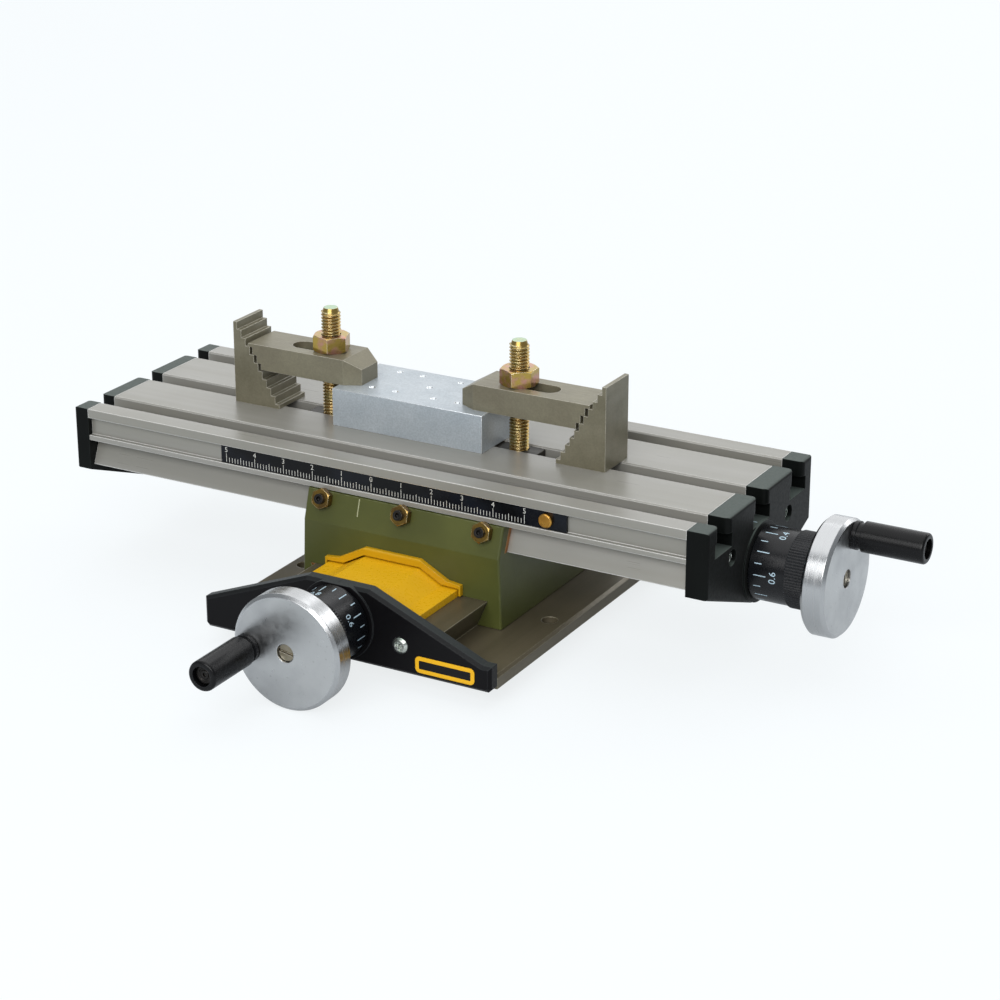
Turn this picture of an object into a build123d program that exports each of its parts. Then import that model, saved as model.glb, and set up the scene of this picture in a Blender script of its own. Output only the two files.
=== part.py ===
from math import cos, radians, sin, sqrt
import os

from build123d import *

# Cross slide table, all sizes in millimetres.
# The origin is the centre of the base's underside. +X runs along the table to its
# handwheel, the cross slide's handwheel faces -Y, and +Z is up.

# Base: extruded slab with a dovetail way along Y
base_length = 126.0
base_width = 93.8
flange_thickness = 4.0
flange_edge_chamfer = 0.8
base_way_height = 8.0
base_way_root = 50.4
base_way_undercut = 3.5
base_channel_width = 17.0
base_channel_web = 4.8
mounting_hole_diameter = 4.8
mounting_hole_inset = 5.4
mounting_spacing_y = 46.0

# Saddle: casting between the base and the table
saddle_overhang = 3.1
saddle_width = 64.8
saddle_side_draft = 0.8
saddle_brow_depth = 2.7
saddle_brow_height = 8.8
saddle_web = 14.0
saddle_wall_height = 8.05
saddle_underside_gap = 0.2
saddle_corner_round = 0.6
saddle_rest_y = 1.8
spindle_trough_width = 11.0
spindle_trough_gap = 0.2

# Table: extruded plate with three T-slots and a dovetail way along X
table_length = 200.0
table_width = 70.0
table_thickness = 18.2
table_rest_x = -11.6
slot_to_edge = 10.0
slot_mouth_width = 6.5
slot_head_width = 11.0
slot_lip = 4.6
slot_head_height = 4.2
slot_mouth_chamfer = 0.4
scale_groove_top = 2.8
scale_groove_height = 5.6
scale_groove_depth = 1.75
table_rib_height = 1.55
table_rib_setback = 0.2
table_way_neck_setback = 5.2
table_way_foot_setback = 1.8
table_channel_width = 12.0
table_channel_height = 3.7
relief_channel_width = 12.0
relief_channel_height = 3.4
relief_channel_offset = 19.0

# Running gaps of the slides and of everything that turns
slide_gap = 0.05
flank_gap = 0.1
turning_gap = 0.05
end_gap = 0.3

# Feed spindles, handwheels, scale rings and handles: the same set on both slides
spindle_diameter = 6.0
spindle_collar_diameter = 7.0
spindle_collar_length = 2.5
long_spindle_below_table = 2.0
cross_spindle_below_way_top = 0.2
cross_spindle_offset = -1.85
cross_spindle_tail = 5.0
bush_diameter = 9.0
spindle_boss_diameter = 23.6
spindle_boss_height = 0.5
ring_diameter = 21.4
ring_scale_length = 10.9
ring_edge_chamfer = 0.4
knurl_diameter = 22.2
knurl_length = 6.8
knurl_grooves = 50
knurl_depth = 0.35
hub_diameter = 14.0
wheel_gap = 0.6
wheel_diameter = 34.0
wheel_thickness = 7.1
wheel_rim_chamfer = 0.9
wheel_screw_bore = 5.4
wheel_screw_bore_depth = 2.6
wheel_screw_head = 5.0
wheel_screw_head_height = 1.9
wheel_screw_shank = 3.0
wheel_screw_length = 8.0
wheel_web_behind_screw = 2.0
screw_slot_width = 0.9
screw_slot_depth = 0.8
handle_radius = 12.4
handle_diameter = 8.8
handle_neck_diameter = 7.4
handle_neck_length = 1.6
handle_collar_diameter = 8.2
handle_collar_length = 1.2
handle_length = 21.5
handle_tip_round = 0.8
handle_tip_bore = 5.8
handle_tip_depth = 3.0
handle_pin_diameter = 4.0
handle_pin_head_diameter = 5.0
handle_pin_head_height = 1.6
handle_pin_seat = 5.0
long_handle_angle = -18.7
cross_handle_angle = 94.6
long_slot_turn = 0.0
cross_slot_turn = 80.0

# End caps of the table
left_cap_thickness = 5.0
right_cap_thickness = 6.5
cap_side_height = 19.4
cap_lobe_diameter = 24.2
cap_edge_round = 0.9
cap_mouth_round = 1.8
cap_screw_spacing = 38.0
cap_screw_drop = 12.3
cap_bush_skin = 0.8

# Bracket on the base's front
bracket_thickness = 3.8
bracket_crown_height = 22.6
bracket_crown_width = 20.4
bracket_left_height = 9.0
bracket_right_height = 7.7
bracket_right_shoulder = 2.9
bracket_corner_chamfer = 1.0
bracket_edge_chamfer = 0.9
bracket_screw_spacing = 37.0
bracket_screw_height = 8.3

# Cross-head screws of the bracket, the end caps and the cross nut
small_screw_diameter = 3.0
small_screw_head = 4.6
small_screw_head_top = 3.3
small_screw_rim_height = 0.9
small_screw_dome_height = 0.6
small_screw_recess_diameter = 4.9
small_screw_recess_depth = 0.9
small_screw_length = 10.0
small_screw_gap = 0.05
cross_recess_length = 2.6
cross_recess_width = 0.7
cross_recess_depth = 0.9

# Cover over the cross spindle and the frame round it on the saddle
cover_wall = 1.0
cover_foot_width = 43.0
cover_lip_height = 2.1
cover_shoulder_width = 32.4
cover_shoulder_height = 2.3
cover_crown_width = 18.4
cover_height = 6.1
cover_length = 53.0
cover_gap = 0.5
frame_foot_lift = 0.4
frame_side = 1.1
frame_lip_rise = 1.5
frame_shoulder_step = 2.0
frame_shoulder_rise = 0.5
frame_crown_rise = 2.8
frame_thickness = 1.5
frame_edge_round = 0.6

# Gib strips, their set screws and lock nuts
gib_thickness = 1.6
gib_end_gap = 0.1
table_gib_top_setback = 0.4
gib_screw_diameter = 3.0
gib_screw_pitch = 26.5
gib_screw_proud = 3.3
gib_screw_socket = 1.5
gib_screw_socket_depth = 1.2
table_gib_screw_drop = 2.2
cross_gib_screw_height = 8.5
lock_nut_flats = 5.5
lock_nut_height = 2.4
nut_chamfer_slope = 0.58

# Spindle nuts
long_nut_size = 15.6
long_nut_base_height = 6.3
long_nut_top = 4.5
long_nut_riser_width = 10.6
cross_nut_width = 14.0
cross_nut_length = 12.0
cross_nut_below_axis = 4.6
cross_nut_pocket_depth = 3.9
cross_nut_offset = 26.0
nut_pocket_gap = 0.15
nut_screw_head = 5.6
nut_screw_sink = 0.2
nut_screw_engagement = 5.0

# Scale strip in the table's front groove
scale_strip_length = 115.0
scale_strip_thickness = 1.05
scale_strip_shift = 5.7
scale_screw_inset = 6.2
scale_screw_head = 4.2
scale_screw_head_height = 1.3
scale_screw_head_chamfer = 0.3
scale_screw_diameter = 2.5

# Clamps: step block, slotted arm, stud, hexagon nut and T-nut
clamp_width = 14.0
step_count = 10
step_rise = 2.4
step_run = 1.45
first_riser = 1.4
step_top_land = 1.3
heel_gap = 1.0
arm_thickness = 7.8
arm_nose_slope_length = 5.0
arm_nose_height = 4.9
arm_nose_width = 8.8
arm_slot_width = 6.6
arm_slot_ahead = 3.5
arm_slot_behind = 13.2
stud_diameter = 5.9
stud_height = 32.6
stud_chamfer = 0.7
clamp_nut_flats = 10.0
clamp_nut_height = 5.0
t_nut_length = 14.0
t_nut_head_width = 10.4
t_nut_head_height = 3.6
t_nut_neck_width = 6.2
t_nut_neck_setback = 0.5
left_stud_x = -34.6
left_block_reach = 14.7
left_nose_reach = 13.3
left_nut_turn = -10.6
right_stud_x = 29.4
right_block_reach = 15.8
right_nose_reach = 16.4
right_nut_turn = -24.8

# Workpiece between the clamps
workpiece_length = 50.8
workpiece_depth = 26.5
workpiece_height = 11.5
workpiece_shift_x = -2.4
workpiece_shift_y = 2.55
workpiece_edge_chamfer = 0.3

# Sizes and places that follow from the sizes above
mounting_spacing_x = base_width - 2 * mounting_hole_inset
saddle_length = table_width + 2 * saddle_overhang
slot_pitch = table_width / 2 - slot_to_edge
table_way_half_neck = table_width / 2 - table_way_neck_setback
table_way_half_foot = table_width / 2 - table_way_foot_setback
base_front = -base_length / 2
way_top = flange_thickness + base_way_height
saddle_bottom = flange_thickness + saddle_underside_gap
saddle_roof = way_top + slide_gap
saddle_floor = saddle_roof + saddle_web
saddle_top = saddle_floor + saddle_wall_height
saddle_brow = saddle_top - saddle_brow_height
saddle_half = saddle_width / 2
saddle_front = saddle_rest_y - saddle_length / 2
saddle_back = saddle_rest_y + saddle_length / 2
saddle_face_slope = saddle_side_draft / (saddle_brow - saddle_bottom)
table_bottom = saddle_floor + slide_gap
table_top = table_bottom + table_thickness
table_right = table_rest_x + table_length / 2
groove_floor = table_width / 2 - scale_groove_depth
neck_drop = scale_groove_top + scale_groove_height + table_rib_height
slot_depth = slot_lip + slot_head_height
table_way_slope = (table_way_half_foot - table_way_half_neck) / (table_thickness - neck_drop)
base_way_slope = base_way_undercut / base_way_height
gib_room = gib_thickness + flank_gap
long_axis_z = table_bottom - long_spindle_below_table
long_axis_drop = long_axis_z - table_top
cross_axis_z = way_top - cross_spindle_below_way_top
spindle_bore = spindle_diameter + 2 * turning_gap
ring_start = spindle_boss_height + end_gap
ring_end = ring_start + ring_scale_length + knurl_length
wheel_start = ring_end + wheel_gap
wheel_end = wheel_start + wheel_thickness
handle_end = wheel_end + handle_length
wheel_screw_floor = wheel_end - wheel_screw_bore_depth
spindle_end = wheel_screw_floor - wheel_web_behind_screw
small_screw_head_height = small_screw_rim_height + small_screw_dome_height
cross_nut_y = saddle_rest_y + cross_nut_offset
cross_nut_top = way_top + cover_height + cover_gap + cross_nut_pocket_depth
long_nut_bottom = saddle_floor - nut_pocket_gap - long_nut_base_height
cut_reach = base_length + table_length
cut_margin = 1.0

os.makedirs("parts", exist_ok=True)


def finish(part, name):
    """Label a finished piece and write it to its own file."""
    part.label = name
    export_step(part, f"parts/{name}.step")


def table_way_half(z):
    """Half width of the table's dovetail at a height."""
    return table_way_half_foot - table_way_slope * (z - table_bottom)


def base_way_half(z):
    """Half width of the base's dovetail at a height."""
    return base_way_root / 2 + base_way_slope * (z - flange_thickness)


def moved_plane(plane, x, y, z=0.0):
    """The same plane with its origin at one of its local points."""
    return Plane(origin=plane.from_local_coords((x, y, z)), x_dir=plane.x_dir, z_dir=plane.z_dir)


def across(axis_plane, distance):
    """Plane square to an axis plane's local X, at a distance along it."""
    origin = axis_plane.from_local_coords((distance, 0, 0))
    return Plane(origin=origin, x_dir=axis_plane.y_dir, z_dir=axis_plane.x_dir)


def turned(axis_plane, *outline):
    """Revolve a closed outline of (distance along the axis, radius) points."""
    with BuildPart() as piece:
        with BuildSketch(axis_plane):
            with BuildLine():
                Polyline(*outline, close=True)
            make_face()
        revolve(axis=Axis(axis_plane.origin, axis_plane.x_dir))
    return piece.part


def group(pieces):
    """Several like pieces kept as separate solids of one node."""
    with BuildPart() as together:
        for piece in pieces:
            add(piece)
    return together.part


# Axis planes of the two feed spindles: local X points out through the handwheel from
# the face that carries it, local Y points up.
cross_drive = Plane(
    origin=(cross_spindle_offset, base_front - bracket_thickness, cross_axis_z),
    x_dir=(0, -1, 0), z_dir=(-1, 0, 0))
long_drive = Plane(
    origin=(table_right + right_cap_thickness, saddle_rest_y, long_axis_z),
    x_dir=(1, 0, 0), z_dir=(0, -1, 0))

# Front planes: local X runs across, local Y up and local Z towards the front.
base_face = Plane(origin=(0, base_front, 0), x_dir=(1, 0, 0), z_dir=(0, -1, 0))
cover_face = Plane(
    origin=(cross_spindle_offset, base_front, way_top), x_dir=(1, 0, 0), z_dir=(0, -1, 0))
frame_face = Plane(
    origin=(cross_spindle_offset, saddle_front, way_top), x_dir=(1, 0, 0), z_dir=(0, -1, 0))


def table_end(side):
    """End face of the table at its top: local Y up, local Z outwards."""
    return Plane(
        origin=(table_rest_x + side * table_length / 2, saddle_rest_y, table_top),
        x_dir=(0, side, 0), z_dir=(side, 0, 0))


# Base
with BuildPart() as base:
    with BuildSketch(base_face):
        with BuildLine():
            edge = base_width / 2
            root = base_way_root / 2
            crown = root + base_way_undercut
            left_wall = cross_spindle_offset - base_channel_width / 2
            right_wall = cross_spindle_offset + base_channel_width / 2
            Polyline(
                (-edge, 0),
                (edge, 0),
                (edge, flange_thickness - flange_edge_chamfer),
                (edge - flange_edge_chamfer, flange_thickness),
                (root, flange_thickness),
                (crown, way_top),
                (right_wall, way_top),
                (right_wall, base_channel_web),
                (left_wall, base_channel_web),
                (left_wall, way_top),
                (-crown, way_top),
                (-root, flange_thickness),
                (-edge + flange_edge_chamfer, flange_thickness),
                (-edge, flange_thickness - flange_edge_chamfer),
                close=True)
        make_face()
    extrude(amount=-base_length)
    with Locations((0, 0, flange_thickness)):
        with GridLocations(mounting_spacing_x, mounting_spacing_y, 2, 2):
            Hole(mounting_hole_diameter / 2, flange_thickness)
    with Locations(moved_plane(base_face, 0, bracket_screw_height)):
        with GridLocations(bracket_screw_spacing, 0, 2, 1):
            Hole(small_screw_diameter / 2, small_screw_length)
finish(base.part, "base")

# Front bracket with a round boss for the cross spindle
with BuildPart() as front_bracket:
    with BuildSketch(base_face):
        with BuildLine():
            edge = base_width / 2
            crown_left = cross_spindle_offset - bracket_crown_width / 2
            crown_right = cross_spindle_offset + bracket_crown_width / 2
            Polyline(
                (-edge + bracket_corner_chamfer, 0),
                (edge - bracket_corner_chamfer, 0),
                (edge, bracket_corner_chamfer),
                (edge, bracket_right_height),
                (edge - bracket_right_shoulder, bracket_right_height),
                (crown_right, bracket_crown_height),
                (crown_left, bracket_crown_height),
                (-edge, bracket_left_height),
                (-edge, bracket_corner_chamfer),
                close=True)
        make_face()
    extrude(amount=bracket_thickness)
    chamfer(front_bracket.faces().sort_by(Axis.Y)[0].edges(), bracket_edge_chamfer)
    with BuildSketch(across(cross_drive, -bracket_edge_chamfer)):
        Circle(spindle_boss_diameter / 2)
        with Locations((-cross_axis_z, 0)):
            Rectangle(bracket_crown_height, spindle_boss_diameter,
                      align=(Align.MIN, Align.CENTER), mode=Mode.INTERSECT)
    extrude(amount=bracket_edge_chamfer + spindle_boss_height)
    with Locations(across(cross_drive, spindle_boss_height)):
        Hole(bush_diameter / 2)
    with Locations(moved_plane(base_face, 0, bracket_screw_height, bracket_thickness)):
        with GridLocations(bracket_screw_spacing, 0, 2, 1):
            CounterBoreHole(small_screw_diameter / 2 + small_screw_gap,
                            small_screw_recess_diameter / 2, small_screw_recess_depth)
finish(front_bracket.part, "front_bracket")


def cross_head_screw(seat):
    """Screw whose domed head stands on a seat, with its shank going down into it."""
    on_seat = (Align.CENTER, Align.CENTER, Align.MIN)
    into_seat = (Align.CENTER, Align.CENTER, Align.MAX)
    with BuildPart() as screw:
        with Locations(seat):
            Cylinder(small_screw_head / 2, small_screw_rim_height, align=on_seat)
            Cylinder((small_screw_diameter - small_screw_gap) / 2, small_screw_length,
                     align=into_seat)
        with Locations(seat.offset(small_screw_rim_height)):
            Cone(small_screw_head / 2, small_screw_head_top / 2, small_screw_dome_height,
                 align=on_seat)
        with Locations(seat.offset(small_screw_head_height)):
            Box(cross_recess_length, cross_recess_width, cross_recess_depth,
                align=into_seat, mode=Mode.SUBTRACT)
            Box(cross_recess_width, cross_recess_length, cross_recess_depth,
                align=into_seat, mode=Mode.SUBTRACT)
    return screw.part


bracket_screw_seats = [
    moved_plane(base_face, side * bracket_screw_spacing / 2, bracket_screw_height,
                bracket_thickness - small_screw_recess_depth)
    for side in (-1, 1)]
finish(group([cross_head_screw(seat) for seat in bracket_screw_seats]), "bracket_screws")


def cover_outline(drop):
    """Outline of the spindle cover, carried down below its feet by a drop."""
    foot = cover_foot_width / 2
    shoulder = cover_shoulder_width / 2
    crown = cover_crown_width / 2
    return [
        (-foot, -drop), (-foot, cover_lip_height), (-shoulder, cover_shoulder_height),
        (-crown, cover_height), (crown, cover_height), (shoulder, cover_shoulder_height),
        (foot, cover_lip_height), (foot, -drop)]


# Cover over the cross spindle: a folded sheet
with BuildPart() as spindle_cover:
    with BuildSketch(cover_face):
        with BuildLine():
            Polyline(*cover_outline(0))
            offset(amount=cover_wall, side=Side.RIGHT)
        make_face()
    extrude(amount=-cover_length)
finish(spindle_cover.part, "spindle_cover")

# Opening that clears the cover, cut in the saddle and in the frame on its mouth
with BuildSketch() as tunnel_opening:
    with BuildLine():
        Polyline(*cover_outline(cut_margin), close=True)
    make_face()
    offset(amount=cover_gap, kind=Kind.INTERSECTION)


def saddle_front_seat(x, z):
    """Plane on the saddle's sloping front brow, local Z pointing out of it."""
    y = saddle_front + saddle_brow_depth * (z - saddle_brow) / saddle_brow_height
    return Plane(origin=(x, y, z), x_dir=(1, 0, 0),
                 z_dir=(0, -saddle_brow_height, saddle_brow_depth))


def saddle_left_seat(y, z):
    """Plane on the saddle's left side, local Z pointing out of it."""
    x = -saddle_half - saddle_face_slope * (saddle_brow - z)
    return Plane(origin=(x, y, z), x_dir=(0, 1, 0), z_dir=(-1, 0, saddle_face_slope))


table_gib_seats = [
    saddle_front_seat(step * gib_screw_pitch, saddle_top - table_gib_screw_drop)
    for step in (-1, 0, 1)]
cross_gib_seats = [
    saddle_left_seat(saddle_rest_y + step * gib_screw_pitch, cross_gib_screw_height)
    for step in (-1, 0, 1)]

# Saddle casting: its side outline and its front outline, one cut by the other
with BuildPart() as saddle:
    with BuildSketch(Plane.YZ.offset(-cut_reach / 2)):
        with BuildLine():
            Polyline(
                (saddle_front, saddle_bottom),
                (saddle_back, saddle_bottom),
                (saddle_back, saddle_brow),
                (saddle_back - saddle_brow_depth, saddle_top),
                (saddle_front + saddle_brow_depth, saddle_top),
                (saddle_front, saddle_brow),
                close=True)
        make_face()
    extrude(amount=cut_reach)
    with BuildSketch(Plane.XZ.offset(-cut_reach / 2)):
        with BuildLine():
            Polyline(
                (-saddle_half - saddle_side_draft, saddle_bottom),
                (saddle_half + saddle_side_draft, saddle_bottom),
                (saddle_half, saddle_brow),
                (saddle_half, saddle_top),
                (-saddle_half, saddle_top),
                (-saddle_half, saddle_brow),
                close=True)
        make_face()
    extrude(amount=cut_reach, mode=Mode.INTERSECT)
    rising_edges = saddle.edges().filter_by(lambda line: abs(line.tangent_at(0.5).Z) > 0.5)
    fillet(rising_edges, saddle_corner_round)
    # long way for the table, with the gib's room along its front flank
    with BuildSketch(Plane.YZ.offset(-cut_reach / 2)):
        with BuildLine():
            above = saddle_top + cut_margin
            Polyline(
                (saddle_rest_y - table_way_half(saddle_floor) - gib_room, saddle_floor),
                (saddle_rest_y + table_way_half(saddle_floor) + flank_gap, saddle_floor),
                (saddle_rest_y + table_way_half(above) + flank_gap, above),
                (saddle_rest_y - table_way_half(above) - gib_room, above),
                close=True)
        make_face()
    extrude(amount=cut_reach, mode=Mode.SUBTRACT)
    # cross way for the base, with the gib's room along its left flank
    with BuildSketch(Plane.XZ.offset(-cut_reach / 2)):
        with BuildLine():
            below = saddle_bottom - cut_margin
            Polyline(
                (-base_way_half(below) - gib_room, below),
                (base_way_half(below) + flank_gap, below),
                (base_way_half(saddle_roof) + flank_gap, saddle_roof),
                (-base_way_half(saddle_roof) - gib_room, saddle_roof),
                close=True)
        make_face()
    extrude(amount=cut_reach, mode=Mode.SUBTRACT)
    # tunnel over the spindle cover
    with BuildSketch(cover_face):
        add(tunnel_opening.sketch)
    extrude(amount=-base_length, mode=Mode.SUBTRACT)
    # trough for the long spindle and pocket for its nut
    trough_floor = long_axis_z - spindle_collar_diameter / 2 - spindle_trough_gap
    with Locations((0, saddle_rest_y, trough_floor)):
        Box(cut_reach, spindle_trough_width, saddle_top,
            align=(Align.CENTER, Align.CENTER, Align.MIN), mode=Mode.SUBTRACT)
    with Locations((0, saddle_rest_y, long_nut_bottom)):
        Box(long_nut_size + 2 * nut_pocket_gap, long_nut_size + 2 * nut_pocket_gap, saddle_top,
            align=(Align.CENTER, Align.CENTER, Align.MIN), mode=Mode.SUBTRACT)
    # pocket for the cross nut in the tunnel's roof, and its screw hole from the floor
    with Locations((cross_spindle_offset, cross_nut_y, cross_nut_top)):
        Box(cross_nut_width + 2 * nut_pocket_gap, cross_nut_length + 2 * nut_pocket_gap,
            cross_nut_top - way_top,
            align=(Align.CENTER, Align.CENTER, Align.MAX), mode=Mode.SUBTRACT)
    with Locations((cross_spindle_offset, cross_nut_y, saddle_floor)):
        CounterSinkHole(small_screw_diameter / 2 + small_screw_gap, nut_screw_head / 2,
                        depth=saddle_floor - way_top, counter_sink_angle=90)
    # holes of the gib screws
    with Locations(*table_gib_seats):
        Cylinder(gib_screw_diameter / 2 + small_screw_gap, 2 * (gib_room + saddle_brow_depth),
                 mode=Mode.SUBTRACT)
    with Locations(*cross_gib_seats):
        Cylinder(gib_screw_diameter / 2 + small_screw_gap,
                 2 * (saddle_half + saddle_side_draft - base_way_root / 2),
                 mode=Mode.SUBTRACT)
finish(saddle.part, "saddle")

# Frame round the tunnel's mouth
with BuildPart() as tunnel_frame:
    with BuildSketch(frame_face):
        with BuildLine():
            foot = cover_foot_width / 2 + frame_side
            shoulder = cover_shoulder_width / 2 + frame_shoulder_step
            crown = cover_crown_width / 2
            lip = cover_lip_height + frame_lip_rise
            lip_end = lip + frame_shoulder_rise
            Polyline(
                (-foot, frame_foot_lift),
                (-foot, lip),
                (-shoulder, lip_end),
                (-crown, cover_height + frame_crown_rise),
                (crown, cover_height + frame_crown_rise),
                (shoulder, lip_end),
                (foot, lip),
                (foot, frame_foot_lift),
                close=True)
        make_face()
        add(tunnel_opening.sketch, mode=Mode.SUBTRACT)
    extrude(amount=frame_thickness)
    front_edges = tunnel_frame.faces().sort_by(Axis.Y)[0].edges()
    fillet(front_edges.sort_by(Axis.Z)[-1], frame_edge_round)
finish(tunnel_frame.part, "tunnel_frame")

# Gib strips, and the planes of their backs
table_gib_back = Plane(
    origin=(0, saddle_rest_y - table_way_half_foot - slide_gap - gib_thickness, table_bottom),
    x_dir=(1, 0, 0), z_dir=(0, -1, table_way_slope))
cross_gib_back = Plane(
    origin=(-base_way_root / 2 - slide_gap - gib_thickness, 0, flange_thickness),
    x_dir=(0, 1, 0), z_dir=(-1, 0, -base_way_slope))

with BuildPart() as table_gib:
    with BuildSketch(Plane.YZ.offset(-saddle_half)):
        with BuildLine():
            low = table_bottom + gib_end_gap
            high = saddle_top - table_gib_top_setback
            inner_low = saddle_rest_y - table_way_half(low) - slide_gap
            inner_high = saddle_rest_y - table_way_half(high) - slide_gap
            Polyline(
                (inner_low, low),
                (inner_high, high),
                (inner_high - gib_thickness, high),
                (inner_low - gib_thickness, low),
                close=True)
        make_face()
    extrude(amount=saddle_width)
finish(table_gib.part, "table_gib")

with BuildPart() as cross_gib:
    with BuildSketch(Plane.XZ.offset(-saddle_front)):
        with BuildLine():
            low = saddle_bottom + gib_end_gap
            high = way_top - gib_end_gap
            inner_low = -base_way_half(low) - slide_gap
            inner_high = -base_way_half(high) - slide_gap
            Polyline(
                (inner_low, low),
                (inner_high, high),
                (inner_high - gib_thickness, high),
                (inner_low - gib_thickness, low),
                close=True)
        make_face()
    extrude(amount=-saddle_length)
finish(cross_gib.part, "cross_gib")


def set_screw(seat, gib_back):
    """Threaded pin through a wall, ending flat on the back of the gib."""
    with BuildPart() as pin:
        with Locations(seat.offset(gib_screw_proud)):
            Cylinder(gib_screw_diameter / 2, saddle_half,
                     align=(Align.CENTER, Align.CENTER, Align.MAX))
        split(bisect_by=gib_back, keep=Keep.TOP)
        with BuildSketch(seat.offset(gib_screw_proud)):
            RegularPolygon(gib_screw_socket / 2, 6, major_radius=False)
        extrude(amount=-gib_screw_socket_depth, mode=Mode.SUBTRACT)
    return pin.part


def hexagon_nut(axis_plane, start, flats, height, hole, turn=0.0):
    """Hexagon nut along an axis plane's local X, its corners chamfered on both faces."""
    corner = flats / sqrt(3)
    chamfer_depth = (corner - flats / 2) * nut_chamfer_slope
    with BuildPart() as nut:
        with BuildSketch(across(axis_plane, start)):
            RegularPolygon(flats / 2, 6, major_radius=False, rotation=turn)
        extrude(amount=height)
        with BuildSketch(axis_plane):
            with BuildLine():
                Polyline(
                    (start, hole / 2),
                    (start, flats / 2),
                    (start + chamfer_depth, corner),
                    (start + height - chamfer_depth, corner),
                    (start + height, flats / 2),
                    (start + height, hole / 2),
                    close=True)
            make_face()
        revolve(axis=Axis(axis_plane.origin, axis_plane.x_dir), mode=Mode.INTERSECT)
    return nut.part


def lock_nut(seat):
    """Lock nut of a gib screw, lying on the screw's seat."""
    axis_plane = Plane(origin=seat.origin, x_dir=seat.z_dir, z_dir=seat.x_dir)
    return hexagon_nut(axis_plane, 0, lock_nut_flats, lock_nut_height,
                       gib_screw_diameter + small_screw_gap)


gib_sets = (
    ("table", table_gib_seats, table_gib_back), ("cross", cross_gib_seats, cross_gib_back))
for slide, seats, back in gib_sets:
    finish(group([set_screw(seat, back) for seat in seats]), f"{slide}_gib_screws")
    finish(group([lock_nut(seat) for seat in seats]), f"{slide}_gib_nuts")

# Nut of the long spindle, standing in the saddle's pocket
with BuildPart() as long_spindle_nut:
    with Locations((0, saddle_rest_y, long_nut_bottom)):
        Box(long_nut_size, long_nut_size, long_nut_base_height,
            align=(Align.CENTER, Align.CENTER, Align.MIN))
        Box(long_nut_size, long_nut_riser_width, long_axis_z + long_nut_top - long_nut_bottom,
            align=(Align.CENTER, Align.CENTER, Align.MIN))
    with Locations(Plane(origin=(long_nut_size / 2, saddle_rest_y, long_axis_z),
                         z_dir=(1, 0, 0))):
        Hole(spindle_bore / 2)
finish(long_spindle_nut.part, "long_spindle_nut")

# Nut of the cross spindle, hanging from the tunnel's roof, and the screw that holds it
with BuildPart() as cross_spindle_nut:
    with Locations((cross_spindle_offset, cross_nut_y, cross_nut_top)):
        Box(cross_nut_width, cross_nut_length,
            cross_nut_top - cross_axis_z + cross_nut_below_axis,
            align=(Align.CENTER, Align.CENTER, Align.MAX))
        Hole(small_screw_diameter / 2, nut_screw_engagement)
    with Locations(Plane(origin=(cross_spindle_offset, cross_nut_y - cross_nut_length / 2,
                                 cross_axis_z), z_dir=(0, -1, 0))):
        Hole(spindle_bore / 2)
finish(cross_spindle_nut.part, "cross_spindle_nut")

nut_screw_axis = Plane(
    origin=(cross_spindle_offset, cross_nut_y, saddle_floor - nut_screw_sink),
    x_dir=(0, 0, -1), z_dir=(0, 1, 0))
nut_screw_tip = saddle_floor - nut_screw_sink - cross_nut_top + nut_screw_engagement
nut_screw_rim = nut_screw_head / 2 - nut_screw_sink
nut_screw_shank = small_screw_diameter / 2
cross_nut_screw = turned(
    nut_screw_axis, (0, 0), (0, nut_screw_rim), (nut_screw_rim - nut_screw_shank, nut_screw_shank),
    (nut_screw_tip, nut_screw_shank), (nut_screw_tip, 0))
finish(cross_nut_screw, "cross_nut_screw")

# Table extrusion
with BuildPart() as table:
    with BuildSketch(table_end(-1)) as table_section:
        with BuildLine():
            edge = table_width / 2
            groove_bottom = scale_groove_top + scale_groove_height
            rib = edge - table_rib_setback
            under = -table_thickness
            relief_near = relief_channel_offset - relief_channel_width / 2
            relief_far = relief_channel_offset + relief_channel_width / 2
            Polyline(
                (0, 0),
                (edge, 0),
                (edge, -scale_groove_top),
                (groove_floor, -scale_groove_top),
                (groove_floor, -groove_bottom),
                (rib, -groove_bottom),
                (rib, -neck_drop),
                (table_way_half_neck, -neck_drop),
                (table_way_half_foot, under),
                (relief_far, under),
                (relief_far, under + relief_channel_height),
                (relief_near, under + relief_channel_height),
                (relief_near, under),
                (table_channel_width / 2, under),
                (table_channel_width / 2, under + table_channel_height),
                (0, under + table_channel_height))
            mirror(about=Plane.YZ)
        make_face()
        with GridLocations(slot_pitch, 0, 3, 1):
            Rectangle(slot_mouth_width, slot_depth, align=(Align.CENTER, Align.MAX),
                      mode=Mode.SUBTRACT)
        with Locations((0, -slot_lip)):
            with GridLocations(slot_pitch, 0, 3, 1):
                Rectangle(slot_head_width, slot_head_height, align=(Align.CENTER, Align.MAX),
                          mode=Mode.SUBTRACT)
        mouth_corners = table_section.vertices().group_by(Axis.Y)[-1].sort_by(Axis.X)[1:-1]
        chamfer(mouth_corners, slot_mouth_chamfer)
    extrude(amount=-table_length)
    for side in (-1, 1):
        with Locations(moved_plane(table_end(side), 0, -cap_screw_drop)):
            with GridLocations(cap_screw_spacing, 0, 2, 1):
                Hole(small_screw_diameter / 2, small_screw_length)
finish(table.part, "table")


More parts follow.
